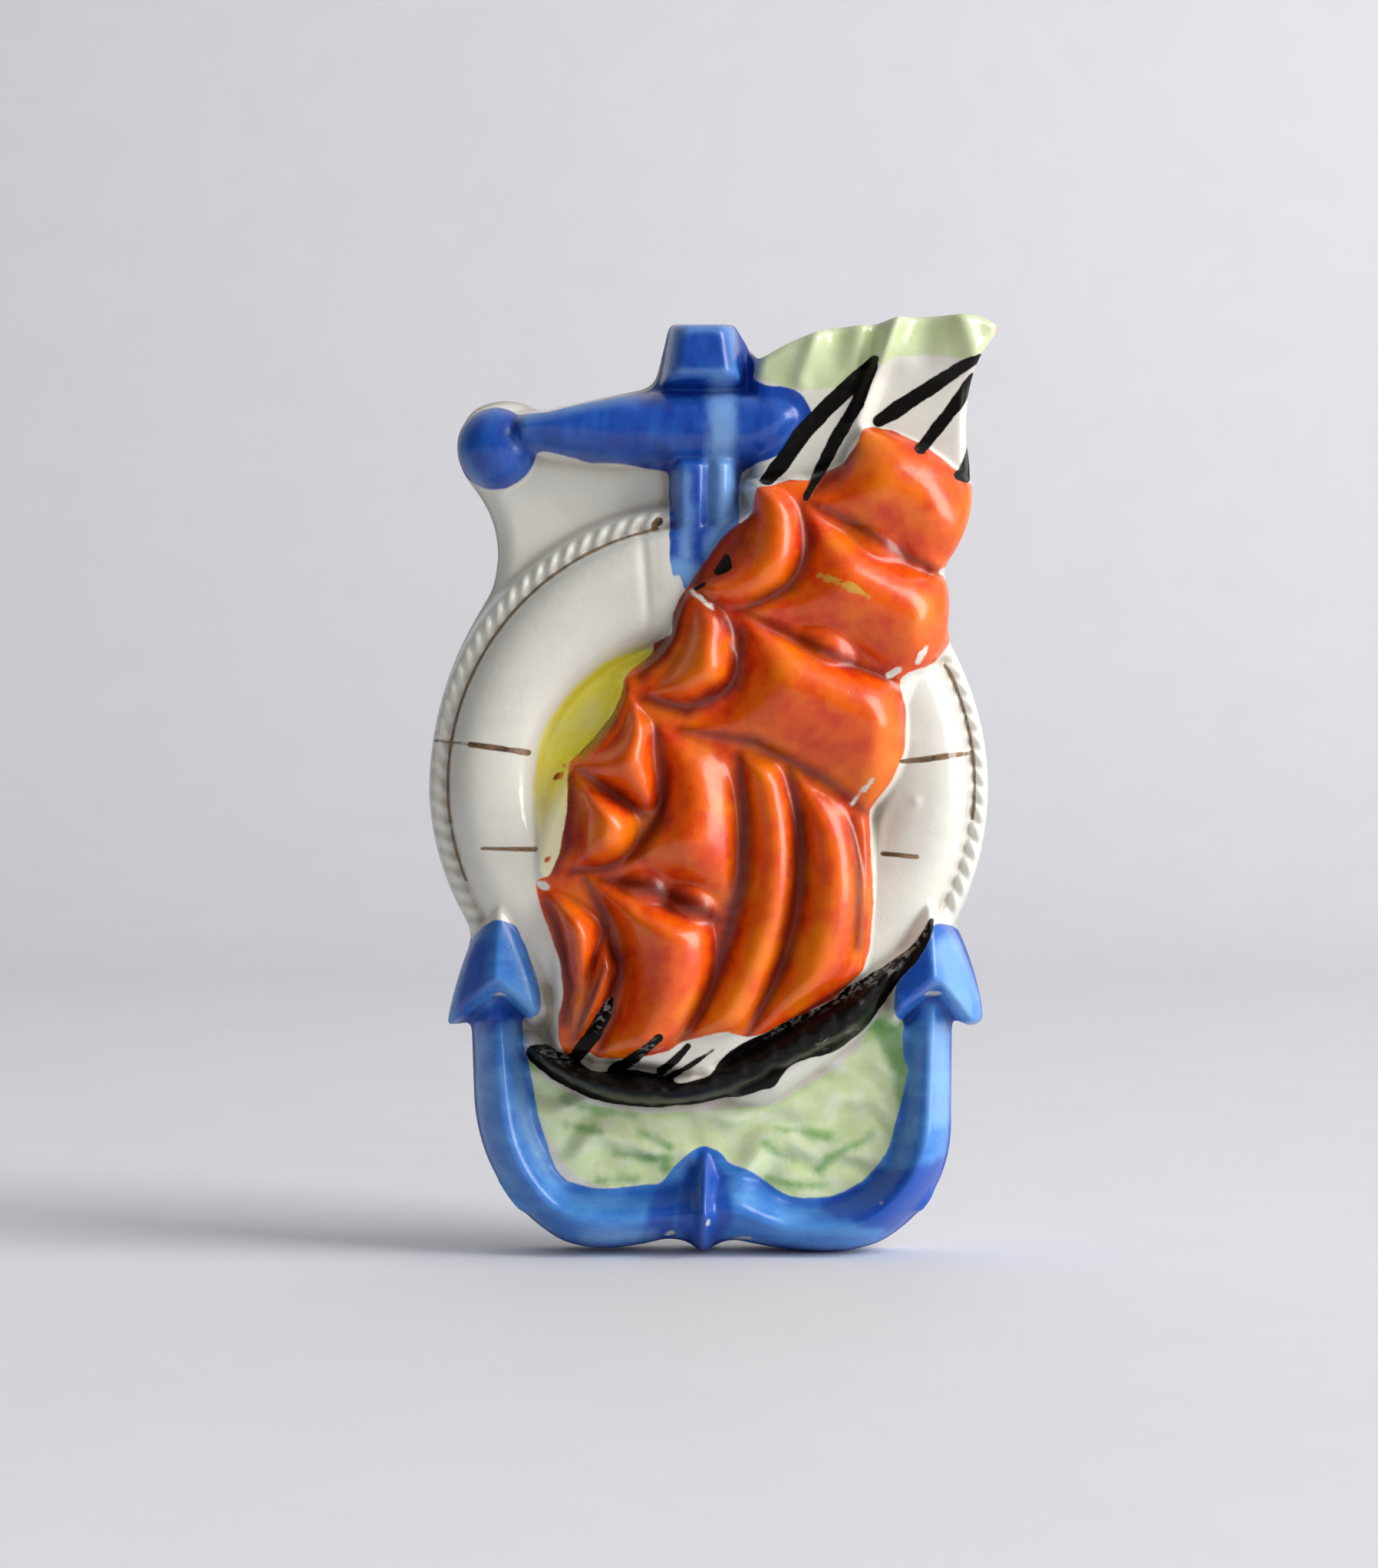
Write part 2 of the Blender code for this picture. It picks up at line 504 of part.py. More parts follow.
def wall_pocket(parts, cutters):
    """The cast body: the relief cut to the outline, then hollowed."""
    body = relief_block("wall_pocket", RELIEF_STEP, front_depth, SHIP_CREST_DEPTH, parts)
    body.data.materials.append(glaze_material())
    thinning = body.modifiers.new("fewer_faces", "DECIMATE")
    thinning.ratio = RELIEF_SHARE_KEPT
    outline = outline_prism("outline", BODY_OUTLINE, -2.0 * SHIP_CREST_DEPTH, 0.0, cutters)
    cut(body, outline, "INTERSECT")
    cut(body, core_cutter(cutters), "DIFFERENCE")
    cut(body, mouth_cutter(cutters), "DIFFERENCE")
    cut(body, nail_hole_cutter(cutters), "DIFFERENCE")
    body.data.shade_smooth()
    body.data.set_sharp_from_angle(angle=np.radians(50.0))


def main():
    for old in list(bpy.data.objects):
        bpy.data.objects.remove(old)
    parts = bpy.data.collections.new("ceramic_wall_pocket")
    cutters = bpy.data.collections.new("cutters")
    bpy.context.scene.collection.children.link(parts)
    bpy.context.scene.collection.children.link(cutters)
    wall_pocket(parts, cutters)


main()
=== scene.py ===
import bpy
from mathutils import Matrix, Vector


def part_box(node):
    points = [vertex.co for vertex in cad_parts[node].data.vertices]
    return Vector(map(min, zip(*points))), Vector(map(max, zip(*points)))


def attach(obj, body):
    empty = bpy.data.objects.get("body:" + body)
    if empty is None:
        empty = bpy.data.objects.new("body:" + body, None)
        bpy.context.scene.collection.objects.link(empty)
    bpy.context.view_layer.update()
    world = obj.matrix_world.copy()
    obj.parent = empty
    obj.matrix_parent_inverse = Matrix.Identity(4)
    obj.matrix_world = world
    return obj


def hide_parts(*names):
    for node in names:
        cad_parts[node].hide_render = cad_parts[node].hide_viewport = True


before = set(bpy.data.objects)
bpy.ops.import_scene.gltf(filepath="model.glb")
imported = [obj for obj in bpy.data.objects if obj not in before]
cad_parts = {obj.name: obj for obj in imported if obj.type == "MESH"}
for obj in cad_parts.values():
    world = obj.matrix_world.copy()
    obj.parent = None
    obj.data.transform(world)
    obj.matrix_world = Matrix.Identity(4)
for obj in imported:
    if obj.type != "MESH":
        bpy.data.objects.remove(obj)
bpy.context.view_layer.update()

import math

import bmesh
import bpy
import numpy as np
from mathutils import Vector

# The ground plate
# The wall pocket is slip-cast from one carved clay master. Its ground is a plain plate, drawn like the
# rest on a sheet of 180 units over the height, x right from the anchor's middle and z up from its tip.
body_low, body_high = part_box("wall_pocket")
UNIT = (body_high[2] - body_low[2]) / 180.7
FOOT = body_low[2] + 0.05 * UNIT
MILLIMETRE = 0.001
SHEET_LEFT, SHEET_RIGHT, SHEET_BOTTOM, SHEET_TOP = -54.0, 62.0, -5.0, 186.0
RELIEF_STEP = 0.45
columns = round((SHEET_RIGHT - SHEET_LEFT) / RELIEF_STEP)
rows = round((SHEET_TOP - SHEET_BOTTOM) / RELIEF_STEP)
grid_x, grid_z = np.meshgrid(
    SHEET_LEFT + RELIEF_STEP * np.arange(columns + 1), SHEET_BOTTOM + RELIEF_STEP * np.arange(rows + 1)
)
EDGE_DEPTH, GROUND_DEPTH = 9.0 * MILLIMETRE, 13.5 * MILLIMETRE
BODY_OUTLINE = (
    (-6.5, 179.8, 0), (5.8, 179.8, 0.3), (10.6, 171.7, 0.6), (24, 177.8, 0.1), (33, 178.6, 0),
    (37, 179.8, 0.1), (52.2, 180.3, 0.3), (56.9, 177.7, -1), (51.2, 167.5, -0.2), (50.4, 157, 3.2),
    (45.9, 132, 0.8), (46.3, 120, 7.2), (48.8, 63.8, 0.8), (54, 46.2, 0.9), (51.5, 44, 0.2),
    (48.2, 45.6, 0), (48, 27, 4.3), (34.5, 2, 0.7), (22, 0, 0.4), (6, 2.4, 0), (4, 2, 0.2),
    (0, -0.1, 0.2), (-4.2, 2.4, 0.3), (-7, 2.7, 0.2), (-15, 1, 0.8), (-27.4, 2.1, 4.1), (-44.4, 29, 0),
    (-45, 44.5, 0), (-49.6, 44, 0.4), (-44.8, 60.2, -0.6), (-46.8, 66.5, 1.3), (-52.9, 89, 2.9),
    (-41.2, 128, -3.2), (-45.8, 149.6, 2.3), (-45, 163.3, 2.3), (-31, 162.6, 0.2), (-12, 167.3, -0.4),
    (-9.2, 169.3, 0),
)


def bowed_side(start, end, bow):
    """Points along a parabola from start to end that swells by the bow to its left."""
    run, climb = end[0] - start[0], end[1] - start[1]
    share = np.linspace(0.0, 1.0, max(4, round(math.hypot(run, climb) / 1.6)) + 1)
    swell = 4.0 * bow * share * (1.0 - share) / math.hypot(run, climb)
    across, up = start[0] + run * share - climb * swell, start[1] + climb * share + run * swell
    return np.stack([across, up], axis=1)


def sides_of(corners):
    """The bowed sides of a closed outline, drawn clockwise, one array of points each."""
    following = corners[1:] + corners[:1]
    return [bowed_side(a[:2], b[:2], a[2]) for a, b in zip(corners, following)]


def closed_loop(corners):
    """The whole outline as one loop of points, without the doubled corners."""
    return np.concatenate([side[:-1] for side in sides_of(corners)])


def evened(loop, spacing, passes):
    """The same loop with evenly spaced points, its corners softened a little by each pass."""
    closed = np.vstack([loop, loop[:1]])
    along = np.concatenate([[0.0], np.cumsum(np.hypot(*np.diff(closed, axis=0).T))])
    at = np.linspace(0.0, along[-1], round(along[-1] / spacing), endpoint=False)
    loop = np.stack([np.interp(at, along, closed[:, axis]) for axis in (0, 1)], axis=1)
    for _ in range(passes):
        loop = (np.roll(loop, 1, axis=0) + 2.0 * loop + np.roll(loop, -1, axis=0)) / 4.0
    return loop


def distance_to_line(x, z, points):
    """The shortest distance from each place on the sheet to a line of points."""
    nearest = np.full(x.shape, np.inf)
    for start, end in zip(points[:-1], points[1:]):
        run, climb = end - start
        along = ((x - start[0]) * run + (z - start[1]) * climb) / (run * run + climb * climb)
        along = np.clip(along, 0.0, 1.0)
        nearest = np.minimum(nearest, np.hypot(x - start[0] - along * run, z - start[1] - along * climb))
    return nearest


def inside_loop(x, z, loop):
    """True where a place lies inside the loop, by counting the sides to its right."""
    inside = np.zeros(x.shape, dtype=bool)
    for start, end in zip(loop, np.roll(loop, -1, axis=0)):
        if start[1] == end[1]:
            continue
        crossing = start[0] + (z - start[1]) * (end[0] - start[0]) / (end[1] - start[1])
        inside ^= ((start[1] > z) != (end[1] > z)) & (x < crossing)
    return inside


def depth_inside(x, z, loop, reach=6.0):
    """How far each place lies inside a loop, negative outside it and -reach far away."""
    found = np.full(x.shape, -reach)
    low, high = loop.min(axis=0) - reach, loop.max(axis=0) + reach
    near = (x > low[0]) & (x < high[0]) & (z > low[1]) & (z < high[1])
    gap = distance_to_line(x[near], z[near], np.vstack([loop, loop[:1]]))
    found[near] = np.where(inside_loop(x[near], z[near], loop), gap, -np.minimum(gap, reach))
    return found


def quarter_round(share, fullness=0.5):
    """A rounded shoulder: 0 at the edge, 1 and level where the share reaches 1."""
    share = np.clip(share, 0.0, 1.0)
    return (1.0 - (1.0 - share) ** 2) ** fullness


outline_loop = evened(closed_loop(BODY_OUTLINE), 0.9, 3)
outline_gap = depth_inside(grid_x, grid_z, outline_loop, 8.0)


def ground():
    gap = np.maximum(outline_gap, 0.0)
    rounding = quarter_round(gap * UNIT / (GROUND_DEPTH - EDGE_DEPTH))
    return EDGE_DEPTH + (GROUND_DEPTH - EDGE_DEPTH) * rounding


# The lifebelt
# A fat ring with four straps and a laid rope round its edge, left white. It is moulded with the rest,
# and the glaze fills the crease where it meets the plate.
GLAZE_FILL, SIDE_SLOPE = 0.9, 4.0
DISC_DEPTH, RING_EDGE_DEPTH, RING_CREST_DEPTH = 18.0 * MILLIMETRE, 17.5 * MILLIMETRE, 25.5 * MILLIMETRE
RING_CENTRE = (1.0, 90.5)
RING_RADIUS, RING_FULLNESS = 50.0, 2.4
RING_HOLE_HALF_WIDTH, RING_HOLE_HALF_HEIGHT = 32.5, 28.0
ROPE_RADIUS, ROPE_HALF_WIDTH, ROPE_RISE, ROPE_LAY = 51.9, 1.9, 2.0 * MILLIMETRE, 3.5
STRAP_HALF_WIDTH, STRAP_RISE, STRAP_SOFTNESS = 9.4, 0.25 * MILLIMETRE, 0.35
CRUMB_PLACE, CRUMB_RISE = (40.3, 87.3), 0.7 * MILLIMETRE
FOLD_LINE, FOLD_LINE_DEPTH = np.array([(-11.9, 140.0), (-10.3, 119.0)]), 0.5 * MILLIMETRE


def soft_max(first, second, fill=GLAZE_FILL * MILLIMETRE):
    """The higher of two surfaces, with the crease between them filled as glaze fills it."""
    near = np.maximum(1.0 - np.abs(first - second) / fill, 0.0)
    return np.maximum(first, second) + near * near * fill / 4.0


def lifebelt(x, z, depth):
    across, up = x - RING_CENTRE[0], z - RING_CENTRE[1]
    radius, turn = np.hypot(across, up), np.arctan2(up, across)
    hole = RING_HOLE_HALF_WIDTH * RING_HOLE_HALF_HEIGHT
    hole = hole / np.hypot(RING_HOLE_HALF_HEIGHT * np.cos(turn), RING_HOLE_HALF_WIDTH * np.sin(turn))
    place = np.clip(2.0 * (radius - hole) / (RING_RADIUS - hole) - 1.0, -1.0, 1.0)
    dome = (1.0 - np.abs(place) ** RING_FULLNESS) ** (1.0 / RING_FULLNESS)
    strap = np.minimum(np.abs(across), np.abs(up)) - STRAP_HALF_WIDTH
    ring = RING_EDGE_DEPTH + (RING_CREST_DEPTH - RING_EDGE_DEPTH) * dome
    ring = ring + STRAP_RISE * dome / (1.0 + np.exp(np.clip(strap / STRAP_SOFTNESS, -30.0, 30.0)))
    ring = np.where(radius < hole, DISC_DEPTH, ring)
    edge = ROPE_RADIUS + ROPE_HALF_WIDTH
    ring = np.where(radius > edge, RING_EDGE_DEPTH - (radius - edge) * UNIT * SIDE_SLOPE, ring)
    ring = ring + CRUMB_RISE * np.exp(-((x - CRUMB_PLACE[0]) ** 2 + (z - CRUMB_PLACE[1]) ** 2) / 0.4)
    ring = ring - FOLD_LINE_DEPTH * np.exp(-((distance_to_line(x, z, FOLD_LINE) / 0.7) ** 2))
    off_rope = np.clip((radius - ROPE_RADIUS) / ROPE_HALF_WIDTH, -1.0, 1.0)
    strand = np.abs(np.sin(math.pi * (turn * ROPE_RADIUS / ROPE_LAY + 0.55 * off_rope)))
    ring = ring + ROPE_RISE * np.sqrt(1.0 - off_rope**2) * (0.2 + 0.8 * strand)
    return soft_max(depth, ring)


# The sea
# A sunk panel of the cast between the arms of the anchor and the hull. Its low ripples were pressed
# into the clay of the master.
SEA_DEPTH, WAVE_HEIGHT = 15.0 * MILLIMETRE, 0.5 * MILLIMETRE
SEA_OUTLINE = ((-36, 38, -4), (38, 52, 0), (45, 52, 0), (45, 8, 0), (-41, 8, 0))


def sea(x, z, depth):
    bend = 1.3 * np.sin(0.16 * x + 1.0) + 0.8 * np.sin(0.37 * x - 0.5) + 0.6 * np.sin(0.21 * x + 0.4 * z)
    waves = np.sin(0.72 * z + bend) + 0.6 * np.sin(0.5 * z - 0.24 * x + bend)
    waves = waves + 0.5 * np.sin(1.1 * z + 0.35 * x + 1.7 * bend) * np.sin(0.31 * x - 0.24 * z)
    within = inside_loop(x, z, closed_loop(SEA_OUTLINE))
    return np.where(within, SEA_DEPTH + WAVE_HEIGHT * waves, depth)


# The sky
# The front wall of the pocket's mouth, cast with the rest. Its pale green lip flares forward in folds,
# and every raised form from here on is laid on the relief below it.
SKY_DEPTH, LIP_FLARE, FOLD_HEIGHT = 20.0 * MILLIMETRE, 2.5 * MILLIMETRE, 1.7 * MILLIMETRE
LIP_START, LIP_BAND = 167.0, 8.0
SKY_OUTLINE = (
    (10, 167.5, 0, 0.6), (11.2, 173.5, 0, 0.6), (20, 184, 0, 0.6), (60, 184, 0, 0.6),
    (50.9, 166, -0.2, 1.6), (50.4, 150, 0, 1), (30, 140, 0, 3), (10, 146, 0, 3),
)
LIP_FOLDS = (
    ((37.5, 181), (29.5, 160), 1.6, 1.3), ((33.4, 181), (31, 171), 1.5, -1.2),
    ((21.5, 176), (18.5, 168), 1.6, 0.8), ((26, 178), (25.5, 173), 3, -1),
    ((42.5, 181), (42, 174), 3.5, -0.9), ((49, 181), (51.5, 172.5), 2.2, 0.9),
)


def laid_on(depth, x, z, corners, floor, rise, roof=False, fullness=0.5, fill=GLAZE_FILL * MILLIMETRE):
    """Lays one raised form on the relief. A corner's last number is the width over which its side
    rolls off. A roof has slopes that meet in a ridge, any other form is a cushion."""
    loop = closed_loop(corners)
    low, high = loop.min(axis=0) - 5.0, loop.max(axis=0) + 5.0
    near = (x > low[0]) & (x < high[0]) & (z > low[1]) & (z < high[1])
    near_x, near_z = x[near], z[near]
    height, outside = np.ones(near_x.shape), np.full(near_x.shape, np.inf)
    for side, corner in zip(sides_of(corners), corners):
        gap = distance_to_line(near_x, near_z, side)
        outside = np.minimum(outside, gap)
        if roof:
            height = np.minimum(height, (gap / corner[3]) ** 0.8)
        else:
            height = height * quarter_round(gap / corner[3], fullness)
    near_floor = floor[near] if isinstance(floor, np.ndarray) else floor
    within = inside_loop(near_x, near_z, loop)
    form = np.where(within, near_floor + rise * height, near_floor - outside * UNIT * SIDE_SLOPE)
    laid = depth.copy()
    laid[near] = soft_max(depth[near], form, fill)
    return laid


def sky(x, z, depth):
    flare = np.clip((z - LIP_START) / LIP_BAND, 0.0, 1.0)
    floor = SKY_DEPTH + LIP_FLARE * flare * flare * (3.0 - 2.0 * flare)
    for start, end, half_width, share in LIP_FOLDS:
        gap = distance_to_line(x, z, np.array([start, end]))
        floor = floor + FOLD_HEIGHT * share * np.exp(-((gap / half_width) ** 2))
    return laid_on(depth, x, z, SKY_OUTLINE, floor - FOLD_HEIGHT, FOLD_HEIGHT)


# The anchor
# The frame of the piece, moulded with it: ridged arms, flukes and crown at the foot, and the shank,
# stock, head and ball at the top.
ANCHOR_FLOOR = 12.5 * MILLIMETRE
ARM_RISE, FLUKE_RISE, CROWN_RISE = 9.5 * MILLIMETRE, 7.5 * MILLIMETRE, 13.5 * MILLIMETRE
FLUKE_EDGE, FLUKE_TILT, FLUKE_LIFT = 16.0 * MILLIMETRE, 0.46 * MILLIMETRE, 0.17 * MILLIMETRE
SHANK_RISE, STOCK_RISE, HEAD_RISE = 9.5 * MILLIMETRE, 10.0 * MILLIMETRE, 11.5 * MILLIMETRE
SHANK_GROOVE, SHANK_GROOVE_PLACE = 1.8 * MILLIMETRE, 1.0
BALL_CENTRE, BALL_RADIUS = (-40.2, 155.5), 7.9
ARM_ROLL = 5.4
LEFT_ARM = (
    (6, 2.2, 0), (-7, 2.6, 0.2), (-15, 1, 0.8), (-27.4, 2.1, 4.1), (-44.4, 29, 0), (-44.9, 54, 0),
    (-35.3, 54, 0), (-32, 27, -1.2), (-25.5, 13.6, -0.5), (-8.6, 13.2, 0), (6, 15, 0),
)
RIGHT_ARM = (
    (-6, 14.6, 0), (8, 16.4, -0.3), (17, 10.9, -1.5), (31, 14.2, -1.1), (37.2, 25.8, -0.3), (39, 54, 0),
    (48.2, 54, 0), (48, 27, 4.3), (34.5, 2, 0.7), (22, 0, 0.4), (5, 2.6, 0), (-6, 2.6, 0),
)
LEFT_FLUKE = (
    (-38.9, 67.6, 1.1, 8), (-30.9, 47.6, 0.3, 3.2), (-32.6, 46.1, -0.4, 3.2), (-39.3, 50.4, -0.3, 3.2),
    (-49.6, 43.8, 1.9, 8),
)
RIGHT_FLUKE = (
    (43, 67.6, 1.2, 8), (54.2, 45.4, 0.4, 3.2), (50.4, 44.2, -0.3, 3.2), (44, 50.8, -0.3, 3.2),
    (36.2, 45.6, 0.3, 3.2), (36, 52, 0.6, 8),
)
CROWN = ((0.2, 21.2, 0.5, 5.5), (5.6, 8.5, 0.7, 5.5), (0, -0.3, 0.7, 5.5), (-5.6, 8.5, 0.5, 5.5))
SHANK = ((-6.6, 127, 0, 3), (-6.6, 153, 0, 1), (6.6, 153, 0, 3), (6.6, 127, 0, 6))
STOCK = (
    (-37, 161.8, 0.2, 4), (-11, 166.6, 0, 6.4), (17.6, 166.4, 1.4, 6.4), (20.4, 158.6, 0.5, 5),
    (7.5, 151.2, 0, 6.4), (-11, 151.4, 0.6, 6.4), (-37, 154.6, 0, 3),
)
HEAD = ((-8.4, 167, 0, 4), (-6.6, 179.5, 0, 3), (6.2, 179.5, 0, 4), (8, 167, 0, 2.4))


def blurred(values, reach, passes=3):
    """A grid over the sheet, smoothed over a reach in units."""
    cells = max(1, round(reach / RELIEF_STEP / passes))
    for axis in (0, 1):
        for _ in range(passes):
            total = values
            for shift in range(1, cells + 1):
                total = total + np.roll(values, shift, axis) + np.roll(values, -shift, axis)
            values = total / (2 * cells + 1)
    return values


def anchor(x, z, depth):
    arms = np.full(x.shape, EDGE_DEPTH)
    for outline in (LEFT_ARM, RIGHT_ARM):
        corners = [corner + (ARM_ROLL,) for corner in outline]
        arms = laid_on(arms, x, z, corners, ANCHOR_FLOOR, ARM_RISE, roof=True)
    depth = soft_max(depth, blurred(arms, 2.7))
    for fluke, tip, tilt in ((LEFT_FLUKE, -49.6, FLUKE_TILT), (RIGHT_FLUKE, 54.0, -FLUKE_TILT)):
        floor = FLUKE_EDGE + tilt * (x - tip) + FLUKE_LIFT * np.maximum(z - 46.0, 0.0)
        depth = laid_on(depth, x, z, fluke, floor, FLUKE_RISE, roof=True)
    depth = laid_on(depth, x, z, CROWN, ANCHOR_FLOOR, CROWN_RISE, roof=True)
    groove = SHANK_GROOVE * np.exp(-((x - SHANK_GROOVE_PLACE) ** 2))
    depth = laid_on(depth, x, z, SHANK, ANCHOR_FLOOR - groove, SHANK_RISE)
    depth = laid_on(depth, x, z, STOCK, ANCHOR_FLOOR, STOCK_RISE)
    depth = laid_on(depth, x, z, HEAD, ANCHOR_FLOOR, HEAD_RISE)
    off = np.clip(np.hypot(x - BALL_CENTRE[0], z - BALL_CENTRE[1]) / BALL_RADIUS, 0.0, 1.0)
    ball = ANCHOR_FLOOR + BALL_RADIUS * UNIT * np.sqrt(1.0 - off * off)
    return soft_max(depth, np.where(off < 1.0, ball, 0.0))


# The ship
# Three square topsails, four staysails and a mainsail in strips, all swollen by the wind, on a bed
# that shows as dark folds at their left edges. The hull is a round rail under them.
SHIP_EDGE_DEPTH, SHIP_CREST_DEPTH = 21.0 * MILLIMETRE, 30.5 * MILLIMETRE
SHIP_CENTRE, SHIP_HALF_WIDTH, SHIP_HALF_HEIGHT = (8.0, 82.0), 48.0, 84.0
SAIL_RISE, FOLD_DROP, SAIL_FILL = 6.4 * MILLIMETRE, 1.4 * MILLIMETRE, 0.9 * MILLIMETRE
HULL_DEPTH, HULL_RISE, HULL_LUMPS = 22.5 * MILLIMETRE, 6.2 * MILLIMETRE, 0.35 * MILLIMETRE
TOP_SAILS = (
    (
        (20.5, 143.8, -1.8, 9), (29.9, 158.4, 2.4, 11), (50.9, 147.8, 2.4, 9), (46.3, 133.2, 0.5, 5),
        (43.5, 131, -1, 15),
    ),
    (
        (19.2, 143.2, -1.5, 10), (46.1, 129.3, 0.8, 8), (46.4, 119, 1.8, 7), (36.6, 110.6, -2.4, 16),
        (9, 123.6, -6.2, 9),
    ),
    (
        (6, 123.6, -1.3, 9), (36.8, 109.8, 0.8, 7), (37.6, 96, 0.9, 7), (31.5, 86.8, -2.7, 17),
        (-5, 100.6, -7.8, 9),
    ),
)
STAYSAILS = (
    ((9.6, 147.4, 0.8, 3), (17.4, 144, 7.3, 8), (4, 124.2, 0.3, 2.4), (-1.5, 128, -5, 9)),
    ((-2.4, 127.2, 2, 7), (5.9, 117, 2, 7), (0.8, 106.4, 1, 5), (-10.5, 108.2, -3.2, 7)),
    (
        (-15.2, 110.8, -0.8, 4), (-9.4, 102, -0.8, 6), (-8.5, 89.5, 1, 3), (-11, 85, -0.6, 9),
        (-25.5, 94.5, -5.6, 5),
    ),
    ((-24.2, 91.3, 0.2, 4), (-12.3, 84.5, 0.8, 6), (-15.5, 75.5, 0, 5), (-24.5, 75.2, -1.5, 5)),
)
MAIN_SAILS = (
    (
        (-8.6, 101.2, -0.4, 10), (3.8, 96.4, 2, 12), (4.5, 66.6, -1.6, 9), (-9.8, 73.4, 0, 9),
        (-19, 74, -6.2, 9),
    ),
    ((6.8, 96, 0.2, 4), (14.2, 94.5, 6.4, 8), (7.2, 43.5, 0, 3.4), (-4, 42, -6.6, 9)),
    ((16.5, 94, -1, 7), (26, 87.4, 3.4, 10), (27.2, 54, -0.4, 4), (8, 42, -6.6, 9)),
    (
        (-22.6, 73.4, -0.6, 5), (-11, 69, -1, 5), (1.4, 65.4, 3.2, 8), (-5.5, 40.4, 0, 3.4),
        (-20.6, 38.6, -7.2, 9),
    ),
    ((-30, 70.3, 0.6, 4), (-19.6, 64.4, 1.6, 5), (-25.6, 39.5, 0, 3), (-25.2, 52, -0.9, 4)),
    ((-18.4, 63, -0.6, 1.4), (-16.2, 56, 1, 1.8), (-24.6, 41, 0.6, 1.8)),
)
SAIL_BED = (
    (-2, 128.6, 1.6, 1.2), (9.8, 143, 0, 1.2), (10, 147.6, 0.4, 1.2), (20, 148.7, 0, 1.2),
    (26.5, 151.8, 0.6, 1.2), (30, 158, 0, 2), (42, 145, 0, 2), (43, 118, 0, 2), (36, 100, 0, 2),
    (31, 84, 1, 1.2), (30.3, 55, 0, 1.2), (0, 36, 0, 1.2), (-28, 40, -1.2, 1.2), (-32.3, 73.4, 0.8, 1.2),
    (-25.8, 93.5, -2.4, 1.2), (-14.6, 111.6, -1.2, 1.2), (-6, 119, 0.6, 1.2),
)
HULL = (
    (-33.6, 41, -2.2, 2.8), (-7, 35, -1.4, 2.8), (22, 48, -1.4, 2.8), (43.4, 65.4, 0, 1.5),
    (43.6, 64, 0, 3), (30.2, 45, 0.3, 3.2), (13.8, 36, 1.6, 3.2), (-9.6, 30, 2.8, 3.2),
)
HULL_SIDE = ((0, 32, 0, 3), (34, 52, 0, 3), (35.5, 47, 0.8, 4.5), (12, 28.8, 0.6, 4.5))
KNOTS = (
    ((33, 136.2), 3.2, 0.7), ((23.3, 116.2), 3.4, 0.9), ((-11.5, 71), 2.4, 0.6), ((-2, 67.6), 3.2, 1.2),
)


def ship(x, z, depth):
    off = ((x - SHIP_CENTRE[0]) / SHIP_HALF_WIDTH) ** 2 + ((z - SHIP_CENTRE[1]) / SHIP_HALF_HEIGHT) ** 2
    swell = SHIP_EDGE_DEPTH + (SHIP_CREST_DEPTH - SHIP_EDGE_DEPTH) * np.exp(-off * off)
    depth = laid_on(depth, x, z, SAIL_BED, swell - 2.0 * FOLD_DROP, FOLD_DROP)
    for (centre_x, centre_z), radius, rise in KNOTS:
        off = np.hypot(x - centre_x, z - centre_z) / radius
        depth = soft_max(depth, swell + rise * UNIT * (1.0 - off * off))
    for sail in TOP_SAILS + STAYSAILS + MAIN_SAILS:
        depth = laid_on(depth, x, z, sail, swell - FOLD_DROP, SAIL_RISE, fullness=0.8, fill=SAIL_FILL)
    depth = laid_on(depth, x, z, HULL_SIDE, SEA_DEPTH, HULL_DEPTH - SEA_DEPTH)
    lumps = np.sin(0.9 * x + 0.6 * z) * np.sin(0.5 * x - 1.1 * z) + 0.5 * np.sin(1.9 * x + 0.7 * z)
    return laid_on(depth, x, z, HULL, HULL_DEPTH + HULL_LUMPS * lumps, HULL_RISE)


# The cast body
# Plaster mould and slip make one hollow shell with a flat back. The master's front gives its face,
# and the drained slip leaves a wall of even thickness with a mouth behind the lip.
EDGE_ROUNDING, BACK_ROUNDING = 1.3, 0.8 * MILLIMETRE
FAR_FRONT, BLOCK_BACK = -60.0 * MILLIMETRE, 30.0 * MILLIMETRE
SIDE_PLANES = [FAR_FRONT, -6.0 * MILLIMETRE, -3.0 * MILLIMETRE, 0.0]


def front_depth(x, z):
    """How far the front stands forward of the flat back at each place on the sheet."""
    depth = sky(x, z, sea(x, z, lifebelt(x, z, ground())))
    depth = ship(x, z, anchor(x, z, depth))
    gap = np.maximum(outline_gap, 0.0)
    return depth - EDGE_ROUNDING * UNIT * (1.0 - quarter_round(gap / EDGE_ROUNDING))


def read_grid(values, x, z):
    """The value of a grid over the sheet at scattered places, blended between its points."""
    across = np.clip((x - SHEET_LEFT) / RELIEF_STEP, 0.0, columns - 1e-6)
    up = np.clip((z - SHEET_BOTTOM) / RELIEF_STEP, 0.0, rows - 1e-6)
    column, row = across.astype(int), up.astype(int)
    right, high = across - column, up - row
    low_row = values[row, column] * (1.0 - right) + values[row, column + 1] * right
    high_row = values[row + 1, column] * (1.0 - right) + values[row + 1, column + 1] * right
    return low_row * (1.0 - high) + high_row * high


face_depth = blurred(front_depth(grid_x, grid_z), 0.45, 1)


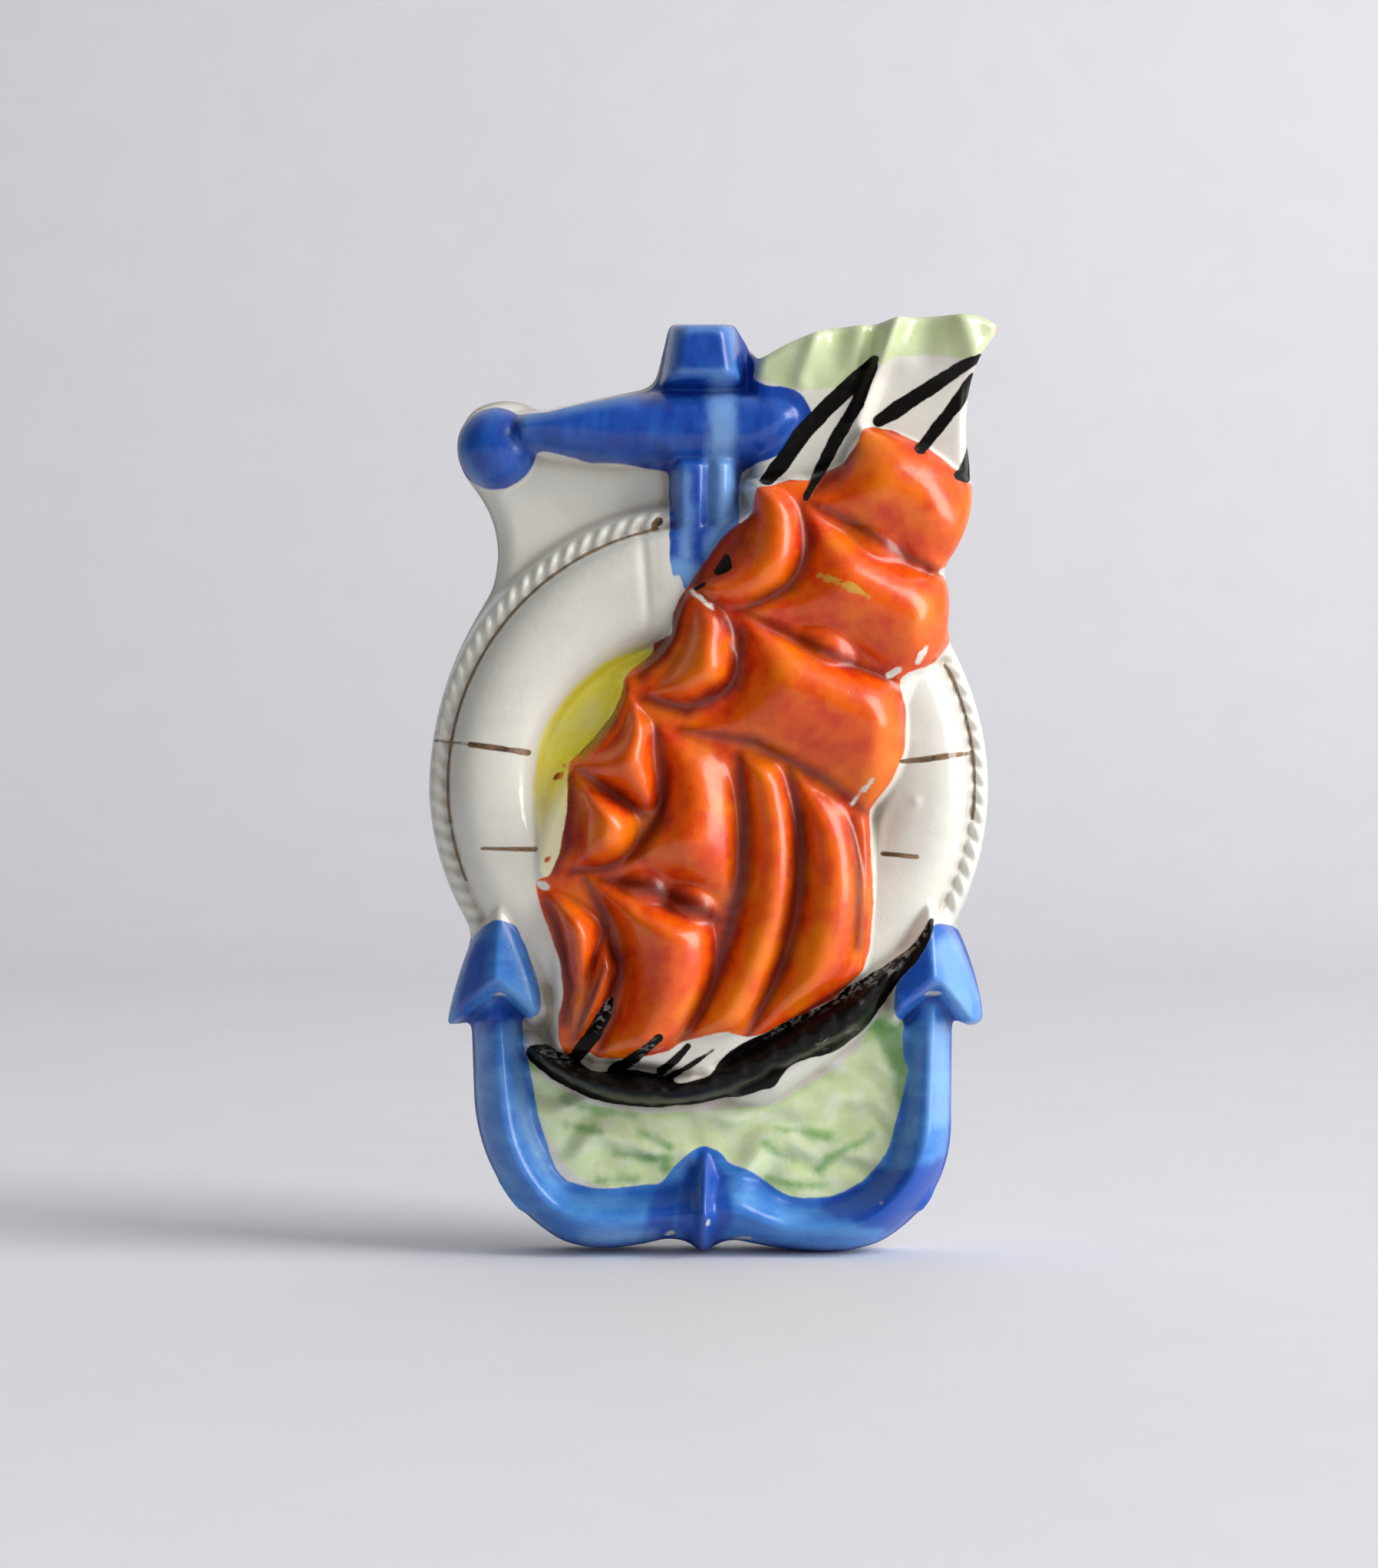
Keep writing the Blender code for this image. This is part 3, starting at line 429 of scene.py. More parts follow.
def relief_block(name, step, values, back):
    """A block over the sheet: a grid that stands forward by the relief, closed to a plane behind."""
    shape = bmesh.new()
    across = round((SHEET_RIGHT - SHEET_LEFT) / step)
    up = round((SHEET_TOP - SHEET_BOTTOM) / step)
    bmesh.ops.create_grid(shape, x_segments=across, y_segments=up, size=0.5)
    places = np.array([vertex.co[:2] for vertex in shape.verts]) + 0.5
    x = SHEET_LEFT + places[:, 0] * (SHEET_RIGHT - SHEET_LEFT)
    z = SHEET_BOTTOM + places[:, 1] * (SHEET_TOP - SHEET_BOTTOM)
    for vertex, place_x, place_z, depth in zip(shape.verts, x, z, read_grid(values, x, z)):
        vertex.co = (place_x * UNIT, -depth, FOOT + place_z * UNIT)
    rim = [edge for edge in shape.edges if edge.is_boundary]
    swept = bmesh.ops.extrude_edge_only(shape, edges=rim)["geom"]
    for vertex in (part for part in swept if isinstance(part, bmesh.types.BMVert)):
        vertex.co.y = back
    bmesh.ops.holes_fill(shape, edges=[part for part in swept if isinstance(part, bmesh.types.BMEdge)])
    return finished(name, shape)


def finished(name, shape):
    """Turns a bmesh into an object at the origin, with its faces pointing out."""
    mesh = bpy.data.meshes.new(name)
    bmesh.ops.recalc_face_normals(shape, faces=shape.faces)
    shape.to_mesh(mesh)
    shape.free()
    made = bpy.data.objects.new(name, mesh)
    bpy.context.scene.collection.objects.link(made)
    return made


def outline_prism(name, loop, planes, back_rounding=0.0):
    """A loop drawn on the sheet, pulled back from plane to plane, its back rim rounded."""
    shape = bmesh.new()
    face = shape.faces.new([shape.verts.new((x * UNIT, planes[0], FOOT + z * UNIT)) for x, z in loop])
    for plane in planes[1:]:
        swept = bmesh.ops.extrude_face_region(shape, geom=[face])["geom"]
        if plane != planes[1]:
            bmesh.ops.delete(shape, geom=[face], context="FACES_ONLY")
        face = next(part for part in swept if isinstance(part, bmesh.types.BMFace))
        for vertex in face.verts:
            vertex.co.y = plane
    if back_rounding:
        bmesh.ops.bevel(
            shape, geom=list(face.edges), offset=back_rounding, affect="EDGES", segments=4, profile=0.5,
            material=-1,
        )
    return finished(name, shape)


def cut(target, cutter, operation):
    """Cuts one mesh with another and throws the cutter away."""
    modifier = target.modifiers.new(cutter.name, "BOOLEAN")
    modifier.solver, modifier.operation, modifier.object = "MANIFOLD", operation, cutter
    result = bpy.data.meshes.new_from_object(target.evaluated_get(bpy.context.evaluated_depsgraph_get()))
    target.modifiers.clear()
    old, target.data = target.data, result
    bpy.data.meshes.remove(old)
    bpy.data.objects.remove(cutter)


body = relief_block("glazed_body", RELIEF_STEP, face_depth, BLOCK_BACK)
cut(body, outline_prism("outline", outline_loop, SIDE_PLANES, BACK_ROUNDING), "INTERSECT")

# The hollow
# Where the slip was poured out again. Its front follows the relief a wall's thickness behind, its
# back is the flat back wall, and the mouth opens behind the folded lip.
WALL, LIP_WALL, CORE_BACK = 4.0 * MILLIMETRE, 3.2 * MILLIMETRE, 8.0 * MILLIMETRE
CORE_STEP, MOUTH_STEP = 2.4, 1.2
LIP_FOOT, LIP_TOP, MOUTH_LEFT, MOUTH_RIGHT, MOUTH_CORNER = 150.0, 178.0, 14.0, 46.6, 6.0
RIM_BAND, RIM_ROUNDING = 1.6, 1.1 * MILLIMETRE
MOUTH_OUTLINE = ((14.6, 152, 0), (14.6, 188, 0), (46, 188, 0), (46, 152, 0))
CORE_OUTLINE = (
    (12, 163, 0), (46.2, 163, 0), (46.2, 148, 1), (41, 134, 0), (41, 116, 6.5), (42, 66, 0), (33, 20, 2),
    (13, 19, 0), (0, 27, 0), (-12, 20, 2), (-26, 22, 2), (-41, 66, 6), (-36, 125, -2), (-38, 147, 0),
    (-9, 160, 0),
)
solid_depth = np.where(outline_gap > 0.0, face_depth, 0.0)
core_depth = np.full(face_depth.shape, np.inf)
reach = WALL / UNIT / RELIEF_STEP
for share, count in ((0.0, 1), (0.5, 8), (0.85, 12), (1.0, 16)):
    for turn in np.arange(count) * 2.0 * math.pi / count:
        shift = (round(reach * share * math.sin(turn)), round(reach * share * math.cos(turn)))
        moved = np.roll(solid_depth, shift, (0, 1)) - WALL * math.sqrt(1.0 - share * share)
        core_depth = np.minimum(core_depth, moved)
core_depth = blurred(core_depth, 3.0)

lip_depth = sky(grid_x, np.minimum(grid_z, LIP_TOP), np.zeros(grid_x.shape))
lip_depth = blurred(np.where(grid_z > LIP_FOOT, lip_depth, 0.0), 1.5)
left_gap = quarter_round((grid_x - MOUTH_LEFT) / MOUTH_CORNER)
right_gap = quarter_round((MOUTH_RIGHT - grid_x) / MOUTH_CORNER)
mouth_depth = WALL + (np.maximum(lip_depth, 0.0) - LIP_WALL - WALL) * np.minimum(left_gap, right_gap)
mouth_depth = mouth_depth + RIM_ROUNDING * (1.0 - quarter_round(outline_gap / RIM_BAND))

core = relief_block("core", CORE_STEP, core_depth, CORE_BACK)
cut(core, outline_prism("room", closed_loop(CORE_OUTLINE), [FAR_FRONT, -WALL]), "INTERSECT")
mouth = relief_block("mouth", MOUTH_STEP, mouth_depth, CORE_BACK)
cut(mouth, outline_prism("slot", closed_loop(MOUTH_OUTLINE), [FAR_FRONT, -WALL]), "INTERSECT")
cut(body, core, "DIFFERENCE")
cut(body, mouth, "DIFFERENCE")

# The nail hole
# A round hole through the flat back, which the piece hangs by. It is cut in the soft clay, and the
# glaze rounds its edge. The profile gives its radius and its depth in millimetres.
HOLE_HEIGHT = -8.0 * MILLIMETRE
HOLE_PROFILE = ((0.0, 2.0), (4.6, 2.0), (3.9, 0.0), (3.3, -0.35), (3.0, -1.0), (3.0, -6.0), (0.0, -6.0))
hole_shape = bmesh.new()
rim_profile = [
    hole_shape.verts.new((radius * MILLIMETRE, depth * MILLIMETRE, 0.0))
    for radius, depth in HOLE_PROFILE
]
rim_edges = [hole_shape.edges.new(pair) for pair in zip(rim_profile[:-1], rim_profile[1:])]
bmesh.ops.spin(
    hole_shape, geom=rim_profile + rim_edges, cent=(0.0, 0.0, 0.0), axis=(0.0, 1.0, 0.0),
    angle=2.0 * math.pi, steps=48, use_merge=True,
)
bmesh.ops.remove_doubles(hole_shape, verts=hole_shape.verts, dist=1e-6)
bmesh.ops.translate(hole_shape, verts=hole_shape.verts, vec=(0.0, 0.0, HOLE_HEIGHT))
cut(body, finished("nail_hole", hole_shape), "DIFFERENCE")

# The painted areas
# Each colour was brushed on by hand over the white, before the clear glaze. An area is an outline on
# the sheet in the same units as the relief, and each is kept as a distance inside its edge.
BLUE_TOP = (
    (-36, 162), (-30.5, 161.9), (-20, 164.7), (-11, 166.5), (-9.4, 167.6), (-8.4, 171), (-7.6, 178.6),
    (-6.6, 182), (6.4, 182), (7.6, 178.5), (9, 174), (10, 171.4), (9.4, 168.4), (12, 166.9), (15, 166.9),
    (18, 166), (19.5, 164.5), (21.3, 161), (20.5, 158.5), (16, 154.5), (14, 153.3), (7.4, 151.3),
    (6.8, 147), (6.5, 127), (-3.5, 127), (-4, 128.4), (-4.7, 131), (-5.8, 129.4), (-6.5, 133),
    (-6.6, 151), (-11.4, 151.6), (-16, 152.3), (-22, 152.5), (-27, 153.8), (-31, 154.6), (-36, 153),
)
BLUE_FOOT = (
    (-39.3, 65.1), (-42.5, 63.2), (-44.8, 60.6), (-48.5, 56), (-50, 50.5), (-52, 43), (-46.5, 41.6),
    (-48, 30), (-46, 18), (-40, 6), (-30, -4), (-20, -4), (0, -4), (20, -4), (33, -4), (45, 4), (51, 16),
    (52, 30), (51, 41.5), (57, 42), (56, 52), (53, 58), (50.6, 61.4), (48.3, 63.3), (45, 64.2),
    (42.4, 63.6), (39.6, 57.2), (37, 54), (36.2, 51.5), (35.9, 47.5), (36.6, 46), (38.8, 45), (38.3, 42),
    (38.6, 37.4), (39.5, 35.7), (39.2, 34.2), (38.3, 30), (37.2, 25.8), (36.2, 21.4), (34.6, 18.6),
    (33.2, 16.6), (31, 14.2), (28.2, 12.6), (24.6, 11), (20, 10.9), (17, 10.9), (15, 11.8), (12.6, 13.4),
    (10, 15.5), (8, 16.6), (4.8, 17.2), (3.4, 19.6), (0, 21), (-2.8, 19.6), (-5, 17.5), (-7, 15),
    (-8.6, 13.2), (-10, 13.6), (-14, 13.1), (-18, 12.6), (-22, 12.8), (-26.5, 14), (-28.5, 16.5),
    (-30, 20.5), (-32, 27), (-33.3, 35), (-34.7, 41), (-35.2, 45.5), (-31.9, 46.2), (-30.9, 47.3),
    (-31.2, 51.8), (-32.5, 56), (-33.8, 59.6), (-35.7, 63.8),
)
ORANGE = (
    (9.9, 147.1), (13, 147.5), (17, 148.6), (20, 148.5), (24, 150.5), (26.5, 151.6), (27.9, 153.5),
    (29.3, 155.5), (30, 158), (32, 159.2), (36, 158.4), (42, 155.6), (47, 151.8), (49.8, 149.2),
    (52.5, 148), (52.5, 141), (48.2, 134), (46, 131.8), (45.6, 130.2), (47.5, 128.6), (48.2, 119.5),
    (44.5, 114), (41.6, 112.6), (40, 112.4), (37, 110.6), (38.4, 104), (38.2, 97), (35.6, 91), (32.4, 87),
    (31.5, 86.2), (31.3, 84), (31.6, 81.3), (32, 73), (32.2, 68), (31.9, 63), (31.3, 59), (30.3, 55),
    (27.5, 52.5), (24.5, 49.5), (22, 47.6), (16.5, 45.4), (12, 43.4), (8, 42.6), (4, 44), (0, 43),
    (-4, 42), (-6, 40.4), (-11, 39), (-16, 38.4), (-20.6, 38.6), (-23.4, 41.4), (-25, 39.2), (-26.2, 38),
    (-27.7, 42.5), (-27.5, 46.5), (-26.7, 50), (-27.3, 57.5), (-28.8, 61), (-30.2, 65), (-31.5, 69),
    (-32.2, 72.6), (-29.2, 73), (-27.5, 77.5), (-26.5, 82), (-25.8, 88), (-25.8, 93), (-25.5, 95.1),
    (-23.9, 96.4), (-22, 98.4), (-20, 100.3), (-16.6, 105.3), (-15.5, 108), (-15, 111.3), (-12, 113.8),
    (-9, 116.3), (-10.3, 117.3), (-8, 118.3), (-5.8, 119), (-6, 121.5), (-5.5, 124), (-4.5, 126.5),
    (-3, 128), (-1.4, 130.6), (1, 134), (3, 137), (6, 139.8), (8.5, 141), (9.5, 142.6),
)
YELLOW = (
    (-8, 117), (-10.5, 116.5), (-16, 115.3), (-20, 113.3), (-24, 110), (-27, 106.3), (-29.5, 102.5),
    (-31.2, 98.6), (-32.4, 90), (-31.5, 81), (-31.3, 74.5), (-29, 71.5), (-20, 75), (-15, 95), (-4, 112),
)
GREEN_SEA = (
    (-33.2, 37.6), (-31, 34.4), (-27, 31.2), (-21, 28.7), (-10, 27), (0, 27.6), (7, 28.6), (12.5, 28.4),
    (17, 30.6), (22, 33.6), (27, 36.6), (31, 41.4), (35, 48.6), (38.6, 48.4), (41, 44), (41, 34.6),
    (40, 28.4), (38, 21), (34.6, 15.6), (29, 11.6), (22, 9.6), (16.2, 10.6), (12.8, 13.4), (8.4, 16.6),
    (4.4, 18.6), (0, 20.6), (-4, 18), (-8.4, 13.4), (-14, 12.6), (-21, 13.2), (-25.8, 16), (-30, 22.6),
    (-33.6, 31), (-36, 37),
)
GREEN_LIP = (
    (8.6, 172.2), (10.4, 168.2), (14, 167), (19, 166.1), (25, 166.5), (29, 167.5), (31.5, 171),
    (34, 170.5), (37.2, 172.7), (44, 172.7), (50.6, 171.9), (53, 171.4), (56.4, 175.6), (56.2, 177),
    (58, 184), (30, 186), (12, 180),
)
BLACK_HULL = (
    (-34.2, 40.2), (-34, 37.5), (-32.4, 36.4), (-29, 33.5), (-25, 31.5), (-22, 30), (-17.8, 29),
    (-9.8, 28.3), (0, 29.2), (4, 30.3), (6, 30.3), (11.4, 32.4), (13.4, 32.5), (14.5, 34.5), (16.6, 37),
    (19, 38), (23, 38.7), (26, 39.7), (31, 43.5), (32.6, 46), (34, 48), (35.8, 51), (38, 54.5),
    (40.5, 57), (43.4, 62), (44, 65.4), (43, 65.6), (41.5, 62.5), (39, 59.4), (35, 56.5), (31, 54),
    (28, 52.6), (24.5, 49.5), (22, 48), (19, 47), (16.5, 46), (13, 44.2), (8, 42), (4.4, 39.8),
    (2.6, 37.4), (1, 35.2), (-5, 34), (-7, 34.7), (-13, 36), (-20, 35.6), (-23, 36.8), (-27.5, 39.5),
    (-30.2, 40.6), (-32.6, 41),
)
# Strokes are lines of points, each with the half-width of the brush there.
BLACK_STROKES = (
    (
        (32.6, 171.8, 0.9), (30.5, 169.2, 1.4), (27, 166, 1.6), (20, 159, 1.7), (14.5, 151.6, 1.6),
        (12.2, 148.6, 1.4),
    ),
    ((32.4, 170.6, 0.9), (29.5, 163.5, 1.3), (25.5, 157, 1.3), (22, 150, 1.1), (19.4, 145, 0.7)),
    ((52.8, 172.2, 0.7), (48, 169.6, 1.3), (43, 166.3, 1.4), (37, 162.4, 1.6), (33.6, 160.2, 1.3)),
    ((51.6, 168.8, 0.8), (48.6, 163.6, 1.4), (44.6, 158.6, 1.2), (41.4, 154.6, 1.1)),
    ((50.8, 156, 0.2), (50.6, 152.6, 0.9), (50, 149.8, 1.5), (48.6, 149.6, 0.9)),
    ((-17.5, 50, 0.5), (-19, 46.6, 1.3), (-21, 43, 1.5), (-24.6, 38.4, 1.4)),
    ((-8.4, 43, 0.9), (-11, 40.6, 0.9), (-14, 38, 1.2), (-17, 35.6, 1.4)),
    ((-3, 41, 0.6), (-5.4, 38.4, 0.8), (-8, 36, 1)), ((2, 40.4, 0.2), (-2.4, 37.4, 0.5), (-7, 34.5, 0.6)),
    ((2.4, 130.6, 0.5), (4.4, 133.6, 0.8), (4.8, 131.6, 0.6), (2.8, 131, 0.9)),
    ((-1.4, 127.6, 0.4), (0.2, 128.6, 0.5)), ((7, 41, 0.3), (12, 42.5, 0.5)),
)
GOLD_LINES = (
    ((-8.6, 141, 0.9), (-9.6, 140.3, 0.5)), ((-51.8, 99, 0.3), (-44.5, 98.2, 0.25)),
    ((-44.5, 98.2, 0.55), (-37.5, 97.2, 0.6)), ((-37.5, 97.2, 0.5), (-33.4, 96.6, 0.6)),
    ((-42.2, 78.4, 0.35), (-32, 78.2, 0.45)),
    ((37.2, 94.9, 0.4), (42, 95.3, 0.6), (46.5, 96, 0.55), (51.4, 96.6, 0.25)),
    ((34, 77.4, 0.5), (40.6, 76.8, 0.4)), ((47, 112.4, 0.3), (46.2, 113.4, 0.4)),
)
# The second coat: places where the brush went over the blue or the green again. On the left faces of the
# flukes the deeper blue is painted shade.
DEEP_AND_SHADE_AREAS = (
    (
        (32, 14.6), (36, 17), (43, 17.6), (48.6, 19.4), (51, 14), (46, 5), (38, 3.4), (30, 6.6), (23, 8),
        (22, 10.4), (27, 12),
    ),
    ((-4.6, 14), (0.4, 21.4), (5, 13), (6, 8), (0, -3), (-6, 7)),
    ((-12, 3), (-9.4, 13), (-4, 14), (-6, 2)), ((6.2, 165), (7.2, 169.4), (17.4, 167.4), (19, 164.8)),
    ((-9, 165.4), (-9, 167.8), (8, 167.8), (8, 165.6)),
    ((-36, 46), (-39.3, 49.6), (-45, 44.6), (-41, 42.4)), ((-48, 44), (-45, 60), (-41, 62), (-41, 52)),
    ((36, 44.6), (36.6, 54), (42.4, 60), (43.4, 51.6)),
)
# The last green stroke, under the right end of the hull, is painted shade; the others are darker green
# brushwork in the sea.
DEEP_GREEN_AND_SHADE_STROKES = (
    ((-17, 19.2, 0.2), (-12, 18.8, 0.6), (-7.6, 18.4, 1.2), (-7.4, 16.6, 0.8)),
    ((-12.4, 23.4, 0.3), (-9.4, 22.2, 0.8), (-6.6, 20.6, 0.5)), ((-26.6, 25, 0.3), (-20, 23.6, 0.5)),
    ((14.4, 24.2, 0.2), (19, 23.6, 0.6), (24.6, 22.4, 0.9), (25.4, 22, 0.2)),
    ((12.2, 21.4, 0.8), (14, 19.4, 0.6), (17.2, 18.4, 0.3)),
    ((22.4, 16.2, 0.9), (24, 18.4, 0.8), (27.6, 20.4, 0.5), (30.2, 21.4, 0.2)),
    ((12.6, 14.6, 0.3), (17, 13.4, 0.6), (23.4, 13.2, 0.5)), ((-20, 14.2, 0.4), (-13, 14.2, 0.6)),
    ((-27, 29.4, 0.2), (-20, 27.6, 0.6), (-13, 26.6, 0.2)), ((30.4, 21.6, 0.3), (32.4, 22.8, 0.8)),
    ((33, 45.6, 1.2), (36.2, 42, 2.4), (38, 36, 2), (38.4, 29, 0.8)),
)
# Nicks are dabs that the brush missed or that wear has bared, and some along the sails' edges are painted
# glints; each is centre, half-widths and turn.
NICKS_AND_GLINTS = (
    (-0.2, 125.4, 2.6, 0.5, -0.7), (41.4, 115.4, 1.9, 0.6, 1), (36.4, 111.8, 1.8, 0.6, 0.5),
    (30.6, 90, 3, 0.45, 0.85), (-30.6, 71.4, 1.6, 0.8, -0.4), (20, 46.6, 6, 0.5, 0.5),
    (13, 43.4, 3, 0.5, 0.3), (0.8, 7, 0.5, 0.9, 0), (-6.5, 4, 0.8, 0.4, 0.4), (8, 3, 1.6, 0.4, 0.2),
    (-39.3, 50.4, 1.4, 0.6, 0), (44, 50.7, 1.3, 0.5, 0), (46.4, 131.4, 1.4, 0.8, 0),
)
# Where the orange glaze ran together in the folds between the sails, and painted shade in the hollows
# along the sails' left edges.
POOLED_AND_SHADE_LINES = (
    ((-1, 128.6, 1.6), (2.6, 133, 3), (6, 137.6, 2.6), (9, 141.4, 1.2)),
    ((-3.8, 126.6, 0.9), (-5.2, 121, 1.8), (-7.5, 115.6, 1.8), (-11.8, 111.2, 1)),
    ((-15.4, 108.6, 0.8), (-18.6, 102.4, 1.8), (-23.4, 97, 1.1)),
    ((-25, 92, 0.6), (-25.4, 86, 1.3), (-25.8, 79, 1.2), (-28.6, 74, 0.5)),
    ((-30.2, 69, 0.4), (-27.6, 61.6, 0.9), (-26, 53.6, 1.2), (-26.4, 45.6, 0.8)),
    ((6.8, 96, 0.6), (7.8, 85, 1.4), (7, 72, 1.6), (3.2, 57, 1.4), (-4, 42.4, 0.8)),
    ((16.2, 94, 0.6), (18, 84, 1.4), (17.6, 72, 1.6), (14.6, 57, 1.4), (8.4, 42.6, 0.8)),
    ((-9, 101.6, 0.5), (-7.2, 92.4, 1.2), (-8.2, 84.4, 1.5), (-12, 78, 1.4), (-18.6, 74.6, 0.8)),
    ((-22.4, 72.6, 0.6), (-18.8, 66, 1.4), (-17, 57, 1.6), (-17.4, 48, 1.2), (-20, 39.6, 0.5)),
    ((19.6, 144.4, 0.5), (30, 139.2, 0.9), (38, 134.2, 0.9), (45, 131, 0.4)),
    ((6.4, 123.8, 0.5), (15, 119.8, 0.9), (25, 114.8, 0.9), (36, 110.4, 0.4)),
    ((18.6, 143.6, 0.6), (20.2, 136.4, 1.2), (16.4, 128.2, 1.3), (8.2, 123.8, 0.8)),
    ((-1.6, 127.4, 0.3), (7, 118.4, 1.3), (5.6, 109.6, 1.4), (-3, 104.6, 1.2), (-11, 106.8, 0.7)),
    ((21, 146, 0.8), (24.4, 149.4, 2), (28, 154.6, 1.4)),
    ((-4, 101, 0.4), (10, 98.6, 0.9), (22, 92, 0.9), (30.6, 85.6, 0.6)),
    ((-19.6, 72.6, 0.6), (-11, 71.6, 1.6), (-2, 67.8, 1.8), (3.6, 64.6, 0.7)),
    ((28, 84, 0.5), (29.4, 74, 0.9), (29, 60, 0.7)),
    ((-23.6, 93.2, 0.4), (-16, 88.8, 0.9), (-10.6, 84.4, 0.6)), ((-24.6, 74, 0.7), (-17, 74.6, 0.7)),
    ((-16.2, 62, 0.3), (-21, 50, 0.8), (-25, 41, 0.4)),
)
# Where the orange was brushed on thin and shows yellower, and drops of it that fell beside the sails.
AMBER_STROKES = (
    ((28, 153.4, 1.5), (33, 156.6, 2.4), (38, 152, 1.2)),
    ((35, 106, 1.6), (35.4, 98, 2.6), (32, 90, 1.6)), ((10.6, 136, 1.6), (12, 130, 1)),
    ((22, 62, 2.4), (17, 50, 2.4)), ((10, 60, 2), (5.6, 48, 1.6)), ((29.4, 70, 1.2), (29.6, 58, 1.4)),
    ((-24, 50, 1), (-23.4, 44, 1)), ((40, 121, 1.6), (42, 126, 1)),
)
ORANGE_DROPS = (
    (-27.7, 92.2, 1.2, 0.7, 0.5), (-18.2, 102.2, 1.3, 0.5, 1), (-26.6, 94.2, 0.5, 0.4, 0),
    (-29.6, 76.4, 0.7, 0.4, 0.8),
)
SCUFFS = (
    (24, 129.2, 1.9, 0.7, -0.25), (27.6, 127.6, 2, 0.9, -0.4), (30.6, 126.2, 1.2, 0.4, -0.5),
    (22, 130, 0.8, 0.4, 0),
)
CLAY_CHIPS = ((56.6, 177.6, 1.3, 0.9, 0.6), (55.4, 175.4, 1.4, 0.35, 1.1), (34, 10.5, 0.3, 0.3, 0))
# Thin paint, where the white shines through the blue, laid also on blue faces turned to the right as a
# painted highlight, and dry paint, where the black skipped.
THIN_AND_LIT_STROKES = (
    ((3.6, 166, 2.4), (3.4, 152.6, 2.6), (3.8, 140, 2.4), (2.4, 130, 2.6)),
    ((-4.6, 131.6, 2.2), (1, 128.4, 3)), ((-3.4, 149, 0.8), (-3.4, 134, 1.2)),
    ((46, 59, 2.4), (49.6, 49, 2.4)), ((45.4, 43, 2), (45.6, 27, 2.2)),
    ((-36.6, 44, 0.8), (-35.6, 30, 1), (-31, 17, 0.8)), ((-22, 3.4, 1.4), (-10, 4, 1)),
)
DRY_STROKES = (
    ((12, 43.4, 0.8), (20, 47.6, 1), (28, 51.8, 1.2), (36, 56.6, 1.2), (42, 63.4, 0.8)),
    ((-17.4, 50, 0.9), (-20, 44.6, 0.8)), ((-30.6, 39.4, 0.8), (-26, 38, 0.8)),
    ((-9.4, 42, 0.7), (-12, 40, 0.8)), ((22, 41, 1.2), (23, 41.4, 1.2)),
    ((28, 43.6, 0.8), (28.4, 44, 0.8)),
)
PAINT_REACH, FACE_SKIN, RIM_SKIN, BACK_EDGE = 5.0, 0.7, 0.4, 1.5 * MILLIMETRE


def painted_area(points):
    return depth_inside(grid_x, grid_z, evened(np.array(points), 0.8, 2), PAINT_REACH)


def brushed_line(strokes):
    """How far each place lies inside the nearest of some strokes."""
    found = np.full(grid_x.shape, -PAINT_REACH)
    for stroke in strokes:
        for (x0, z0, r0), (x1, z1, r1) in zip(stroke[:-1], stroke[1:]):
            run, climb = x1 - x0, z1 - z0
            along = ((grid_x - x0) * run + (grid_z - z0) * climb) / (run * run + climb * climb)
            along = np.clip(along, 0.0, 1.0)
            gap = np.hypot(grid_x - x0 - along * run, grid_z - z0 - along * climb)
            found = np.maximum(found, r0 + (r1 - r0) * along - gap)
    return found


def dabs(spots):
    """How far each place lies inside the nearest of some oval spots."""
    found = np.full(grid_x.shape, -PAINT_REACH)
    for x, z, long, short, turn in spots:
        across = (grid_x - x) * math.cos(turn) + (grid_z - z) * math.sin(turn)
        up = (grid_z - z) * math.cos(turn) - (grid_x - x) * math.sin(turn)
        found = np.maximum(found, (1.0 - np.hypot(across / long, up / short)) * min(long, short))
    return found


ring_across, ring_up = grid_x - RING_CENTRE[0], grid_z - RING_CENTRE[1]
ring_turn = np.degrees(np.arctan2(ring_up, ring_across))


def ring_line(radius, half_width, start, end):
    """A thin line painted round the ring from one angle in degrees to another."""
    line = half_width - np.abs(np.hypot(ring_across, ring_up) - radius)
    return np.where((ring_turn - start) % 360.0 < end - start, line, -PAINT_REACH)


paint = {
    "blue": np.maximum(painted_area(BLUE_TOP), painted_area(BLUE_FOOT)),
    "orange": np.maximum(painted_area(ORANGE), dabs(ORANGE_DROPS)), "amber": brushed_line(AMBER_STROKES),
    "yellow": painted_area(YELLOW),
    "green": np.maximum(painted_area(GREEN_SEA), painted_area(GREEN_LIP)),
    "black": np.maximum(painted_area(BLACK_HULL), brushed_line(BLACK_STROKES)),
    "gold": np.maximum.reduce([
        ring_line(RING_RADIUS, 0.33, 101.0, 202.0), ring_line(RING_RADIUS + 1.0, 0.34, 352.0, 386.0),
        brushed_line(GOLD_LINES),
    ]),
    "second_coat_and_shade": np.maximum.reduce([painted_area(area) for area in DEEP_AND_SHADE_AREAS]),
    "deep_green_and_shade": brushed_line(DEEP_GREEN_AND_SHADE_STROKES),
    "pooled_and_shade": brushed_line(POOLED_AND_SHADE_LINES),
    "thin_and_lit": brushed_line(THIN_AND_LIT_STROKES), "dry": brushed_line(DRY_STROKES),
    "bare_and_glint": dabs(NICKS_AND_GLINTS), "scuff": dabs(SCUFFS), "clay": dabs(CLAY_CHIPS),
}
ball_gap = BALL_RADIUS - np.hypot(grid_x - BALL_CENTRE[0], grid_z - BALL_CENTRE[1])
paint["blue"] = np.maximum(paint["blue"], np.maximum(ball_gap, -PAINT_REACH))
